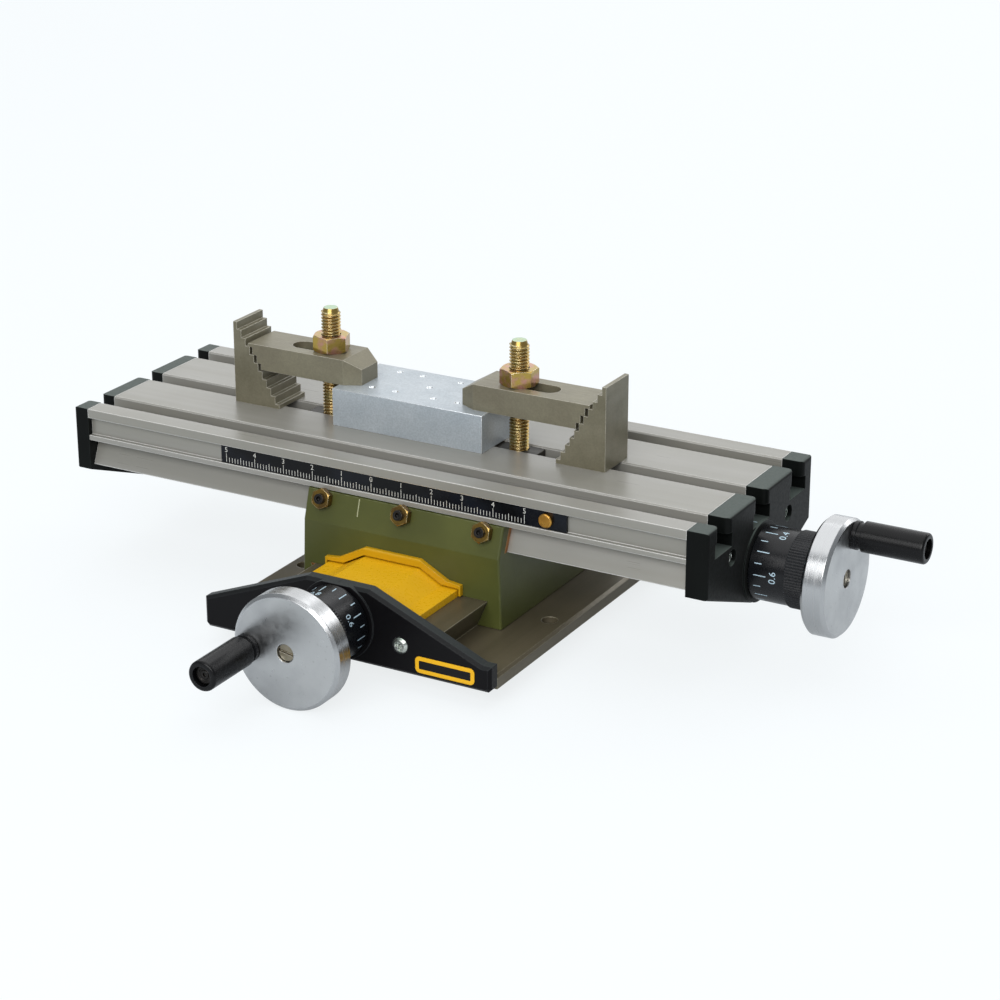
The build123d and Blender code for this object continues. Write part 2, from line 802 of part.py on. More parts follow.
def end_cap(side, thickness):
    """Cap on one end of the table, with the T-slots running out through it."""
    face = table_end(side)
    top = Plane(origin=face.origin, x_dir=face.z_dir, z_dir=(0, 0, 1))
    with BuildPart() as cap:
        with BuildSketch(face):
            Rectangle(table_width, cap_side_height, align=(Align.CENTER, Align.MAX))
            with Locations((0, long_axis_drop)):
                Circle(cap_lobe_diameter / 2)
            make_hull()
        extrude(amount=thickness)
        outer = cap.faces().sort_by(Axis(face.origin, face.z_dir))[-1]
        fillet(outer.edges(), cap_edge_round)
        # slot mouths, rounded where they open outwards
        with BuildSketch(top) as mouths:
            with Locations((thickness, 0)):
                Rectangle(thickness, table_width, align=(Align.MIN, Align.CENTER))
            with GridLocations(0, slot_pitch, 1, 3):
                Rectangle(2 * thickness + cut_margin, slot_mouth_width)
            throat = mouths.vertices().filter_by(lambda point: abs(point.X - thickness) < 0.01)
            fillet(throat.sort_by(Axis.Y)[1:-1], cap_mouth_round)
        extrude(amount=-slot_depth, mode=Mode.SUBTRACT)
        with BuildSketch(moved_plane(face, 0, -slot_lip)):
            with GridLocations(slot_pitch, 0, 3, 1):
                Rectangle(slot_head_width, slot_head_height, align=(Align.CENTER, Align.MAX))
        extrude(amount=thickness, mode=Mode.SUBTRACT)
        with Locations(moved_plane(face, 0, -cap_screw_drop, thickness)):
            with GridLocations(cap_screw_spacing, 0, 2, 1):
                CounterBoreHole(small_screw_diameter / 2 + small_screw_gap,
                                small_screw_recess_diameter / 2,
                                small_screw_recess_depth + small_screw_head_height)
    return cap.part


with BuildPart() as right_end_cap:
    add(end_cap(1, right_cap_thickness))
    with BuildSketch(across(long_drive, -cap_edge_round)):
        Circle(spindle_boss_diameter / 2)
    extrude(amount=cap_edge_round + spindle_boss_height)
    with Locations(across(long_drive, spindle_boss_height)):
        Hole(bush_diameter / 2)
finish(right_end_cap.part, "right_end_cap")

left_bush_length = left_cap_thickness - cap_bush_skin
with BuildPart() as left_end_cap:
    add(end_cap(-1, left_cap_thickness))
    with Locations(moved_plane(table_end(-1), 0, long_axis_drop)):
        Cylinder(bush_diameter / 2, left_bush_length,
                 align=(Align.CENTER, Align.CENTER, Align.MIN), mode=Mode.SUBTRACT)
finish(left_end_cap.part, "left_end_cap")

cap_screws = []
for side, thickness in ((-1, left_cap_thickness), (1, right_cap_thickness)):
    seat_depth = thickness - small_screw_recess_depth - small_screw_head_height
    for half in (-cap_screw_spacing / 2, cap_screw_spacing / 2):
        seat = moved_plane(table_end(side), half, -cap_screw_drop, seat_depth)
        cap_screws.append(cross_head_screw(seat))
finish(group(cap_screws), "cap_screws")


def plain_bush(axis_plane, start, end):
    """Plain bearing bush between two distances along an axis plane."""
    return turned(
        axis_plane, (start, spindle_bore / 2), (end, spindle_bore / 2),
        (end, bush_diameter / 2), (start, bush_diameter / 2))


left_end_distance = -right_cap_thickness - table_length
finish(plain_bush(cross_drive, -bracket_thickness, spindle_boss_height), "cross_bush")
finish(group([
    plain_bush(long_drive, -right_cap_thickness, spindle_boss_height),
    plain_bush(long_drive, left_end_distance - left_bush_length, left_end_distance)]),
    "long_bushes")


def handle_axis(drive, angle):
    """Axis plane of a handle, at an angle round its drive from straight up."""
    turn = radians(angle)
    return moved_plane(drive, 0, handle_radius * cos(turn), handle_radius * sin(turn))


def spindle(drive, collar_end, tail):
    """Feed spindle from its tail to the handwheel, with a collar behind its bearing."""
    shaft = spindle_diameter / 2
    collar = spindle_collar_diameter / 2
    tapped = wheel_screw_shank / 2
    tapped_end = wheel_screw_floor - wheel_screw_length - end_gap
    return turned(
        drive, (tail, 0), (tail, shaft), (collar_end - spindle_collar_length, shaft),
        (collar_end - spindle_collar_length, collar), (collar_end, collar), (collar_end, shaft),
        (spindle_end, shaft), (spindle_end, tapped), (tapped_end, tapped), (tapped_end, 0))


def handwheel(drive, angle):
    """Turned wheel with a long hub that carries the scale ring."""
    hub_start = spindle_boss_height + flank_gap
    rim = wheel_diameter / 2
    hub = hub_diameter / 2
    shaft = spindle_diameter / 2
    shank = wheel_screw_shank / 2
    screw_bore = wheel_screw_bore / 2
    bevel = wheel_rim_chamfer
    blank = turned(
        drive, (hub_start, shaft), (spindle_end, shaft), (spindle_end, shank),
        (wheel_screw_floor, shank), (wheel_screw_floor, screw_bore), (wheel_end, screw_bore),
        (wheel_end, rim - bevel), (wheel_end - bevel, rim), (wheel_start + bevel, rim),
        (wheel_start, rim - bevel), (wheel_start, hub), (hub_start, hub))
    with BuildPart() as wheel:
        add(blank)
        with Locations(across(handle_axis(drive, angle), wheel_end)):
            Hole(handle_pin_diameter / 2, handle_pin_seat)
    return wheel.part


def slotted(blank, head_face, length, turn=0.0):
    """A turned screw with a straight slot cut across its head."""
    with BuildPart() as screw:
        add(blank)
        with Locations(head_face):
            Box(length, screw_slot_width, screw_slot_depth, rotation=(0, 0, turn),
                align=(Align.CENTER, Align.CENTER, Align.MAX), mode=Mode.SUBTRACT)
    return screw.part


def wheel_screw(drive, slot_turn):
    """Slotted screw that holds the handwheel on the spindle's end."""
    head = wheel_screw_head / 2
    shank = wheel_screw_shank / 2
    head_end = wheel_screw_floor + wheel_screw_head_height
    tip = wheel_screw_floor - wheel_screw_length
    blank = turned(
        drive, (tip, 0), (tip, shank), (wheel_screw_floor, shank), (wheel_screw_floor, head),
        (head_end, head), (head_end, 0))
    return slotted(blank, across(drive, head_end), wheel_screw_head, slot_turn)


def scale_ring(drive):
    """Graduated ring with a knurled grip, running on the handwheel's hub."""
    bore = hub_diameter / 2 + turning_gap
    scale = ring_diameter / 2
    grip = knurl_diameter / 2
    grip_start = ring_start + ring_scale_length
    bevel = ring_edge_chamfer
    blank = turned(
        drive, (ring_start, bore), (ring_end, bore), (ring_end, grip - bevel),
        (ring_end - bevel, grip), (grip_start, grip), (grip_start, scale),
        (ring_start + bevel, scale), (ring_start, scale - bevel))
    groove_side = knurl_depth * sqrt(2)
    with BuildPart() as ring:
        add(blank)
        with BuildSketch(across(drive, grip_start)):
            with PolarLocations(grip, knurl_grooves):
                Rectangle(groove_side, groove_side, rotation=45)
        extrude(amount=knurl_length, mode=Mode.SUBTRACT)
    return ring.part


def handle(axis_plane):
    """Turned grip with a necked collar, which spins on its pin."""
    bore = handle_pin_diameter / 2 + turning_gap
    tip_bore = handle_tip_bore / 2
    grip = handle_diameter / 2
    neck = handle_neck_diameter / 2
    collar = handle_collar_diameter / 2
    start = wheel_end + end_gap
    collar_end = start + handle_collar_length
    neck_end = collar_end + handle_neck_length
    tip_floor = handle_end - handle_tip_depth
    with BuildPart() as grip_piece:
        with BuildSketch(axis_plane) as profile:
            with BuildLine():
                Polyline(
                    (start, bore), (tip_floor, bore), (tip_floor, tip_bore),
                    (handle_end, tip_bore), (handle_end, grip), (neck_end, grip),
                    (neck_end, neck), (collar_end, neck), (collar_end, collar),
                    (start, collar), close=True)
            make_face()
            outer_corner = profile.vertices().group_by(Axis.X)[-1].sort_by(Axis.Y)[-1]
            fillet(outer_corner, handle_tip_round)
        revolve(axis=Axis(axis_plane.origin, axis_plane.x_dir))
    return grip_piece.part


def handle_pin(axis_plane):
    """Slotted screw through a handle, seated in the handwheel."""
    shank = handle_pin_diameter / 2
    head = handle_pin_head_diameter / 2
    root = wheel_end - handle_pin_seat
    head_start = handle_end - handle_tip_depth + flank_gap
    head_end = head_start + handle_pin_head_height
    blank = turned(
        axis_plane, (root, 0), (root, shank), (head_start, shank), (head_start, head),
        (head_end, head), (head_end, 0))
    return slotted(blank, across(axis_plane, head_end), handle_pin_head_diameter)


long_tail = left_end_distance - left_bush_length + end_gap
cross_tail = -bracket_thickness - base_length + cross_spindle_tail
drives = (
    ("long", long_drive, long_handle_angle, long_slot_turn,
     -right_cap_thickness - flank_gap, long_tail),
    ("cross", cross_drive, cross_handle_angle, cross_slot_turn,
     -bracket_thickness - flank_gap, cross_tail))
for slide, drive, angle, slot_turn, collar_end, tail in drives:
    finish(spindle(drive, collar_end, tail), f"{slide}_spindle")
    finish(handwheel(drive, angle), f"{slide}_handwheel")
    finish(wheel_screw(drive, slot_turn), f"{slide}_wheel_screw")
    finish(scale_ring(drive), f"{slide}_scale_ring")
    finish(handle(handle_axis(drive, angle)), f"{slide}_handle")
    finish(handle_pin(handle_axis(drive, angle)), f"{slide}_handle_pin")

# Scale strip and its screw, in the table's front groove
strip_seat = Plane(
    origin=(table_rest_x + scale_strip_shift, saddle_rest_y - groove_floor,
            table_top - scale_groove_top - scale_groove_height / 2),
    x_dir=(1, 0, 0), z_dir=(0, -1, 0))
scale_screw_x = scale_strip_length / 2 - scale_screw_inset
with BuildPart() as scale_strip:
    with BuildSketch(strip_seat.offset(slide_gap)):
        Rectangle(scale_strip_length, scale_groove_height - 2 * slide_gap)
        with Locations((scale_screw_x, 0)):
            Circle(scale_screw_diameter / 2 + small_screw_gap, mode=Mode.SUBTRACT)
    extrude(amount=scale_strip_thickness - slide_gap)
finish(scale_strip.part, "scale_strip")

scale_screw_axis = Plane(
    origin=strip_seat.from_local_coords((scale_screw_x, 0, 0)), x_dir=(0, -1, 0), z_dir=(1, 0, 0))
scale_screw_end = scale_strip_thickness + scale_screw_head_height
scale_screw_rim = scale_screw_head / 2
scale_screw = turned(
    scale_screw_axis, (slide_gap, 0), (slide_gap, scale_screw_diameter / 2),
    (scale_strip_thickness, scale_screw_diameter / 2), (scale_strip_thickness, scale_screw_rim),
    (scale_screw_end - scale_screw_head_chamfer, scale_screw_rim),
    (scale_screw_end, scale_screw_rim - scale_screw_head_chamfer), (scale_screw_end, 0))
finish(scale_screw, "scale_screw")

# Workpiece
with BuildPart() as workpiece:
    with Locations((table_rest_x + workpiece_shift_x, saddle_rest_y + workpiece_shift_y,
                    table_top)):
        Box(workpiece_length, workpiece_depth, workpiece_height,
            align=(Align.CENTER, Align.CENTER, Align.MIN))
    chamfer(workpiece.faces().sort_by(Axis.Z)[-1].edges(), workpiece_edge_chamfer)
finish(workpiece.part, "workpiece")


def clamp(name, side, stud_x, block_reach, nose_reach, nut_turn):
    """One clamp: local X runs from the stud to the step block, local Y up from the table."""
    origin = (table_rest_x + stud_x, saddle_rest_y, table_top)
    section = Plane(origin=origin, x_dir=(side, 0, 0), z_dir=(0, -side, 0))
    plan = Plane(origin=origin, x_dir=(side, 0, 0), z_dir=(0, 0, 1))
    stud_axis = Plane(origin=origin, x_dir=(0, 0, 1), z_dir=(0, -1, 0))
    arm_bottom = workpiece_height
    arm_top = arm_bottom + arm_thickness
    block_end = block_reach + step_count * step_run + step_top_land
    treads = [(block_reach + step * step_run, first_riser + step * step_rise)
              for step in range(step_count + 1)]

    with BuildPart() as step_block:
        with BuildSketch(section):
            with BuildLine():
                stairs = [(block_reach, 0)]
                for (riser, level), (next_riser, _) in zip(treads, treads[1:]):
                    stairs += [(riser, level), (next_riser, level)]
                stairs += [treads[-1], (block_end, treads[-1][1]), (block_end, 0)]
                Polyline(*stairs, close=True)
            make_face()
        extrude(amount=clamp_width / 2, both=True)
    finish(step_block.part, f"{name}_step_block")

    with BuildPart() as arm:
        with BuildSketch(section):
            with BuildLine():
                teeth = [(riser - heel_gap, level) for riser, level in treads
                         if arm_bottom < level < arm_top]
                heel = [(teeth[0][0], arm_bottom)]
                for riser, level in teeth:
                    heel += [(riser, level), (riser + step_run, level)]
                heel.append((heel[-1][0], arm_top))
                Polyline(
                    *heel,
                    (-nose_reach + arm_nose_slope_length, arm_top),
                    (-nose_reach, arm_bottom + arm_nose_height),
                    (-nose_reach, arm_bottom),
                    close=True)
            make_face()
        extrude(amount=clamp_width / 2, both=True)
        # plan taper of the nose, and the long slot for the stud
        with BuildSketch(plan):
            with BuildLine():
                Polyline(
                    (-nose_reach, -arm_nose_width / 2),
                    (-nose_reach + arm_nose_slope_length, -clamp_width / 2),
                    (block_end, -clamp_width / 2),
                    (block_end, clamp_width / 2),
                    (-nose_reach + arm_nose_slope_length, clamp_width / 2),
                    (-nose_reach, arm_nose_width / 2),
                    close=True)
            make_face()
            with Locations(((arm_slot_behind - arm_slot_ahead) / 2, 0)):
                SlotOverall(arm_slot_ahead + arm_slot_behind, arm_slot_width,
                            mode=Mode.SUBTRACT)
        extrude(amount=arm_top, mode=Mode.INTERSECT)
    finish(arm.part, f"{name}_clamp_arm")

    with BuildPart() as t_nut:
        with BuildSketch(Plane(origin=origin, x_dir=(0, 1, 0), z_dir=(1, 0, 0))):
            with Locations((0, -slot_lip)):
                Rectangle(t_nut_head_width, t_nut_head_height, align=(Align.CENTER, Align.MAX))
                Rectangle(t_nut_neck_width, slot_lip - t_nut_neck_setback,
                          align=(Align.CENTER, Align.MIN))
        extrude(amount=t_nut_length / 2, both=True)
        with Locations(origin):
            Hole(stud_diameter / 2)
    finish(t_nut.part, f"{name}_t_nut")

    foot = -slot_lip - t_nut_head_height
    radius = stud_diameter / 2
    stud = turned(
        stud_axis, (foot, 0), (foot, radius), (stud_height - stud_chamfer, radius),
        (stud_height, radius - stud_chamfer), (stud_height, 0))
    finish(stud, f"{name}_stud")
    clamp_nut = hexagon_nut(stud_axis, arm_top, clamp_nut_flats, clamp_nut_height,
                            stud_diameter + 2 * turning_gap, nut_turn)
    finish(clamp_nut, f"{name}_clamp_nut")


clamp("left", -1, left_stud_x, left_block_reach, left_nose_reach, left_nut_turn)
clamp("right", 1, right_stud_x, right_block_reach, right_nose_reach, right_nut_turn)
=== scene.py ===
from math import cos, pi, radians, sin

import bpy
from mathutils import Matrix, Vector


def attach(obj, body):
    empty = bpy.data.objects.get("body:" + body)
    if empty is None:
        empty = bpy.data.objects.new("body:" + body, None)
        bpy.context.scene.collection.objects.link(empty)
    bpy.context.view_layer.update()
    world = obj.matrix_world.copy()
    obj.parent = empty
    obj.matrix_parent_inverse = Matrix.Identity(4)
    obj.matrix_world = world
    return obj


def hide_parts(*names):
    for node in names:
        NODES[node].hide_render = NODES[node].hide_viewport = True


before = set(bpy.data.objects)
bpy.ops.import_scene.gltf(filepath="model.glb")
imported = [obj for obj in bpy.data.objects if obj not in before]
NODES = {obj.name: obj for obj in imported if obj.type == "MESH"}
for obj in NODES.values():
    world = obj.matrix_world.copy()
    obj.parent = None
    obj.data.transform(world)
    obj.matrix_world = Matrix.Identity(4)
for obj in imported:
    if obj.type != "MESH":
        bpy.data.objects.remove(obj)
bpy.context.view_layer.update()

# Looks of the cross slide table. Sizes are in millimetres and become metres through MM.
MM = 0.001
UP = Vector((0, 0, 1))
SMOOTH_ANGLE = radians(30)

# Places and sizes repeated from the source of the part
TABLE_X = -11.6
TABLE_Y = 1.8
TABLE_TOP = 44.3
TABLE_HALF_WIDTH = 35.0
SLOT_DEPTH = 8.8
BRACKET_FRONT = -66.8
BRACKET_CROWN = 22.6
CROSS_AXIS = Vector((-1.85, BRACKET_FRONT, 11.8))
LONG_AXIS = Vector((94.9, TABLE_Y, 24.1))
CROSS_DRIVE = Vector((0, -1, 0))
LONG_DRIVE = Vector((1, 0, 0))
FEED_PITCH = 1.0
WHEEL_RADIUS = 17.0
RING_RADIUS = 10.7
RING_START = 0.8

# The turned rim of a handwheel starts outside its face
RIM_START = WHEEL_RADIUS - 1.3
RIM_BLEND = 0.4


def linear(hex_colour):
    """sRGB hex colour as a linear RGBA tuple."""
    channels = [int(hex_colour[i:i + 2], 16) / 255 for i in (1, 3, 5)]
    return tuple(c / 12.92 if c <= 0.04045 else ((c + 0.055) / 1.055) ** 2.4
                 for c in channels) + (1.0,)


def per_metre(size):
    """Texture scale of a pattern whose features are a size in millimetres."""
    return 1 / (size * MM)


def add_node(tree, kind, inputs=None, **settings):
    """Add a shader node: each input takes a value, another node or one of its outputs."""
    made = tree.nodes.new(kind)
    for name, value in settings.items():
        setattr(made, name, value)
    for socket, value in (inputs or {}).items():
        if isinstance(value, bpy.types.Node):
            value = value.outputs[0]
        if isinstance(value, bpy.types.NodeSocket):
            tree.links.new(value, made.inputs[socket])
        else:
            made.inputs[socket].default_value = value
    return made


def cleared_tree(owner):
    """Node tree of a material or a world, emptied."""
    owner.use_nodes = True
    owner.node_tree.nodes.clear()
    return owner.node_tree


def start_finish(name):
    """An empty node material, its tree and the piece's own coordinates."""
    material = bpy.data.materials.new(name)
    tree = cleared_tree(material)
    place = add_node(tree, "ShaderNodeTexCoord").outputs["Object"]
    return material, tree, place


def two_tone(tree, pattern, low, high, colour, shade):
    """Colour that goes over to its shade where the pattern rises from low to high."""
    tone = add_node(tree, "ShaderNodeMapRange", {
        "Value": pattern, "From Min": low, "From Max": high})
    return add_node(tree, "ShaderNodeMix", {
        0: tone, 6: linear(colour), 7: linear(shade)}, data_type="RGBA").outputs[2]


def rounded_edges(tree, radius):
    """Normal that rounds the edges by a radius, and a mask that is 1 along them."""
    rounded = add_node(tree, "ShaderNodeBevel", {"Radius": radius * MM}, samples=6)
    flat = add_node(tree, "ShaderNodeNewGeometry").outputs["True Normal"]
    along = add_node(tree, "ShaderNodeVectorMath", {0: rounded, 1: flat}, operation="DOT_PRODUCT")
    mask = add_node(tree, "ShaderNodeMapRange", {
        "Value": along.outputs["Value"], "From Min": 0.995, "From Max": 0.8})
    return rounded, mask


def edge_wear_and_highlight(tree, mask, amount, body, edge):
    """Body colour that goes over to the edge colour, by an amount, where the mask is 1: thin paint
    or wear on some finishes, a painted highlight along the edges on others.
    """
    wear_and_highlight = add_node(tree, "ShaderNodeMath", {0: mask, 1: amount}, operation="MULTIPLY")
    return add_node(tree, "ShaderNodeMix", {
        0: wear_and_highlight, 6: body, 7: linear(edge)}, data_type="RGBA").outputs[2]


def anodised_extrusion(name, colour, shade, edge, roughness, metallic, length_axis):
    """Satin anodised aluminium, with die lines that run along the extrusion."""
    material, tree, place = start_finish(name)
    # die lines are about 0.1 mm wide, drawn 0.35 mm wide so that they show
    fine = [per_metre(0.35)] * 3
    fine[length_axis] = per_metre(60.0)
    stretched = add_node(tree, "ShaderNodeMapping", {"Vector": place, "Scale": fine})
    lines = add_node(tree, "ShaderNodeTexNoise", {
        "Vector": stretched, "Scale": 1.0, "Detail": 2.0, "Roughness": 0.5})
    broad = [per_metre(6.0)] * 3
    broad[length_axis] = per_metre(200.0)
    swept = add_node(tree, "ShaderNodeMapping", {"Vector": place, "Scale": broad})
    streaks = add_node(tree, "ShaderNodeTexNoise", {"Vector": swept, "Scale": 1.0, "Detail": 2.0})
    body = two_tone(tree, streaks, 0.35, 0.65, colour, shade)
    # handling leaves faint dull patches a couple of centimetres across
    patches = add_node(tree, "ShaderNodeTexNoise", {
        "Vector": place, "Scale": per_metre(22.0), "Detail": 3.0})
    dulling = add_node(tree, "ShaderNodeMapRange", {
        "Value": patches, "From Min": 0.4, "From Max": 0.7, "To Min": -0.03, "To Max": 0.05})
    # the edge colour is a painted highlight on the table, a worn pale edge on the base
    rounded, mask = rounded_edges(tree, 0.45)
    line_gloss = add_node(tree, "ShaderNodeMapRange", {
        "Value": lines, "From Min": 0.3, "From Max": 0.7,
        "To Min": roughness - 0.02, "To Max": roughness + 0.03})
    gloss = add_node(tree, "ShaderNodeMath", {0: line_gloss, 1: dulling}, operation="ADD")
    relief = add_node(tree, "ShaderNodeBump", {
        "Height": lines, "Distance": 0.02 * MM, "Strength": 0.3, "Normal": rounded})
    shader = add_node(tree, "ShaderNodeBsdfPrincipled", {
        "Base Color": edge_wear_and_highlight(tree, mask, 1.0, body, edge), "Metallic": metallic,
        "Roughness": gloss, "Normal": relief})
    add_node(tree, "ShaderNodeOutputMaterial", {"Surface": shader})
    return material


def enamelled_metal(name, colour, shade, edge, roughness, specular, edge_amount, peel_depth):
    """Stoved enamel: slight orange peel, and thin paler paint along the edges."""
    material, tree, place = start_finish(name)
    peel = add_node(tree, "ShaderNodeTexNoise", {
        "Vector": place, "Scale": per_metre(1.1), "Detail": 2.0})
    cloud = add_node(tree, "ShaderNodeTexNoise", {
        "Vector": place, "Scale": per_metre(20.0), "Detail": 3.0})
    body = two_tone(tree, cloud, 0.35, 0.65, colour, shade)
    rounded, mask = rounded_edges(tree, 0.3)
    # the brush or spray leaves the edge unevenly thin, in stretches of about 2 mm
    uneven = add_node(tree, "ShaderNodeTexNoise", {
        "Vector": place, "Scale": per_metre(2.0), "Detail": 3.0})
    thin = add_node(tree, "ShaderNodeMapRange", {
        "Value": uneven, "From Min": 0.35, "From Max": 0.6, "To Max": edge_amount})
    gloss = add_node(tree, "ShaderNodeMapRange", {
        "Value": peel, "From Min": 0.3, "From Max": 0.7,
        "To Min": roughness - 0.02, "To Max": roughness + 0.03})
    relief = add_node(tree, "ShaderNodeBump", {
        "Height": peel, "Distance": peel_depth * MM, "Strength": 0.3, "Normal": rounded})
    shader = add_node(tree, "ShaderNodeBsdfPrincipled", {
        "Base Color": edge_wear_and_highlight(tree, mask, thin, body, edge), "Roughness": gloss,
        "Specular IOR Level": specular, "Normal": relief})
    add_node(tree, "ShaderNodeOutputMaterial", {"Surface": shader})
    return material


def black_finish(name, colour, shade, edge, roughness, specular, grain, grain_depth,
                 edge_radius=0.3, haze=0.0, painted_top_light=None):
    """Black plastic or enamel: fine grain, a haze at grazing angles, and greyer edges.

    A lighter colour painted on the faces that look up stands in for the light that falls on these
    tops.
    """
    material, tree, place = start_finish(name)
    specks = add_node(tree, "ShaderNodeTexNoise", {
        "Vector": place, "Scale": per_metre(grain), "Detail": 2.0})
    cloud = add_node(tree, "ShaderNodeTexNoise", {
        "Vector": place, "Scale": per_metre(16.0), "Detail": 3.0})
    body = two_tone(tree, cloud, 0.4, 0.7, colour, shade)
    # the faces that look up take a lighter colour: painted top light
    facing = add_node(tree, "ShaderNodeSeparateXYZ", {
        "Vector": add_node(tree, "ShaderNodeNewGeometry").outputs["True Normal"]})
    upward = add_node(tree, "ShaderNodeMapRange", {
        "Value": facing.outputs["Z"], "From Min": 0.6, "From Max": 0.9,
        "To Max": 1.0 if painted_top_light else 0.0})
    topped = add_node(tree, "ShaderNodeMix", {
        0: upward, 6: body, 7: linear(painted_top_light or colour)}, data_type="RGBA")
    rounded, mask = rounded_edges(tree, edge_radius)
    gloss = add_node(tree, "ShaderNodeMapRange", {
        "Value": specks, "From Min": 0.3, "From Max": 0.7,
        "To Min": roughness - 0.05, "To Max": roughness + 0.08})
    relief = add_node(tree, "ShaderNodeBump", {
        "Height": specks, "Distance": grain_depth * MM, "Strength": 0.35, "Normal": rounded})
    shader = add_node(tree, "ShaderNodeBsdfPrincipled", {
        "Base Color": edge_wear_and_highlight(tree, mask, 0.6, topped.outputs[2], edge), "Roughness": gloss,
        "Specular IOR Level": specular, "Sheen Weight": haze, "Sheen Roughness": 0.4,
        "Normal": relief})
    add_node(tree, "ShaderNodeOutputMaterial", {"Surface": shader})
    return material


def turned_aluminium(name, centre, drive, tangent_axis):
    """Turned aluminium: a satin face with scuffs and smears, and a bright round rim."""
    material, tree, place = start_finish(name)
    moved = add_node(tree, "ShaderNodeVectorMath", {0: place, 1: centre * MM},
                     operation="SUBTRACT")
    beside = Vector((1, 1, 1)) - Vector([abs(part) for part in drive])
    flat = add_node(tree, "ShaderNodeVectorMath", {0: moved, 1: beside}, operation="MULTIPLY")
    radius = add_node(tree, "ShaderNodeVectorMath", {0: flat}, operation="LENGTH").outputs["Value"]
    along = add_node(tree, "ShaderNodeVectorMath", {0: moved, 1: drive},
                     operation="DOT_PRODUCT").outputs["Value"]
    profile = add_node(tree, "ShaderNodeCombineXYZ", {"X": radius, "Y": along})
    # the tool's feed is about 0.1 mm a turn, drawn 0.3 mm wide so that it shows
    rings = add_node(tree, "ShaderNodeTexNoise", {
        "Vector": profile, "Scale": per_metre(0.3), "Detail": 2.0})
    scuffs = add_node(tree, "ShaderNodeTexNoise", {
        "Vector": place, "Scale": per_metre(2.4), "Detail": 6.0, "Roughness": 0.7})
    smears = add_node(tree, "ShaderNodeTexNoise", {
        "Vector": place, "Scale": per_metre(11.0), "Detail": 3.0})
    face = two_tone(tree, smears, 0.4, 0.7, "#C4C5C5", "#B3B4B5")
    # a few dark specks about 0.6 mm across
    specks = add_node(tree, "ShaderNodeTexNoise", {
        "Vector": place, "Scale": per_metre(1.2), "Detail": 3.0})
    speck_tone = add_node(tree, "ShaderNodeMapRange", {
        "Value": specks, "From Min": 0.66, "From Max": 0.76, "To Max": 0.4})
    stained = add_node(tree, "ShaderNodeMix", {
        0: speck_tone, 6: face, 7: linear("#7C7C78")}, data_type="RGBA")
    on_rim = add_node(tree, "ShaderNodeMapRange", {
        "Value": radius, "From Min": RIM_START * MM, "From Max": (RIM_START + RIM_BLEND) * MM})
    body = add_node(tree, "ShaderNodeMix", {
        0: on_rim, 6: stained.outputs[2], 7: linear("#BABBBC")}, data_type="RGBA")
    face_gloss = add_node(tree, "ShaderNodeMapRange", {
        "Value": scuffs, "From Min": 0.3, "From Max": 0.7, "To Min": 0.26, "To Max": 0.4})
    rim_gloss = add_node(tree, "ShaderNodeMapRange", {
        "Value": rings, "From Min": 0.3, "From Max": 0.7, "To Min": 0.2, "To Max": 0.28})
    gloss = add_node(tree, "ShaderNodeMix", {0: on_rim, 2: face_gloss, 3: rim_gloss})
    rounded, _ = rounded_edges(tree, 0.35)
    height = add_node(tree, "ShaderNodeMix", {0: on_rim, 2: scuffs, 3: rings})
    relief = add_node(tree, "ShaderNodeBump", {
        "Height": height, "Distance": 0.01 * MM, "Strength": 0.2, "Normal": rounded})
    tangent = add_node(tree, "ShaderNodeTangent", direction_type="RADIAL", axis=tangent_axis)
    shader = add_node(tree, "ShaderNodeBsdfPrincipled", {
        "Base Color": body.outputs[2], "Metallic": 1.0, "Roughness": gloss, "Anisotropic": 0.4,
        "Tangent": tangent, "Normal": relief})
    add_node(tree, "ShaderNodeOutputMaterial", {"Surface": shader})
    return material


def plated_steel(name, colour, tint, bright, roughness, metallic=0.9):
    """Plated steel: patches of a second tint, dark specks and edges painted bright as highlights.
    """
    material, tree, place = start_finish(name)
    patches = add_node(tree, "ShaderNodeTexNoise", {
        "Vector": place, "Scale": per_metre(3.2), "Detail": 3.0})
    body = two_tone(tree, patches, 0.45, 0.65, colour, tint)
    specks = add_node(tree, "ShaderNodeTexNoise", {
        "Vector": place, "Scale": per_metre(0.5), "Detail": 2.0})
    grime = add_node(tree, "ShaderNodeMapRange", {
        "Value": specks, "From Min": 0.6, "From Max": 0.8, "To Max": 0.4})
    spotted = add_node(tree, "ShaderNodeMix", {
        0: grime, 6: body, 7: linear("#2A2620")}, data_type="RGBA")
    # the bright edge colour is a painted highlight along the edges
    rounded, mask = rounded_edges(tree, 0.25)
    gloss = add_node(tree, "ShaderNodeMapRange", {
        "Value": patches, "From Min": 0.3, "From Max": 0.7,
        "To Min": roughness - 0.05, "To Max": roughness + 0.07})
    relief = add_node(tree, "ShaderNodeBump", {
        "Height": specks, "Distance": 0.02 * MM, "Strength": 0.25, "Normal": rounded})
    shader = add_node(tree, "ShaderNodeBsdfPrincipled", {
        "Base Color": edge_wear_and_highlight(tree, mask, 0.85, spotted.outputs[2], bright),
        "Metallic": metallic, "Roughness": gloss, "Normal": relief})
    add_node(tree, "ShaderNodeOutputMaterial", {"Surface": shader})
    return material


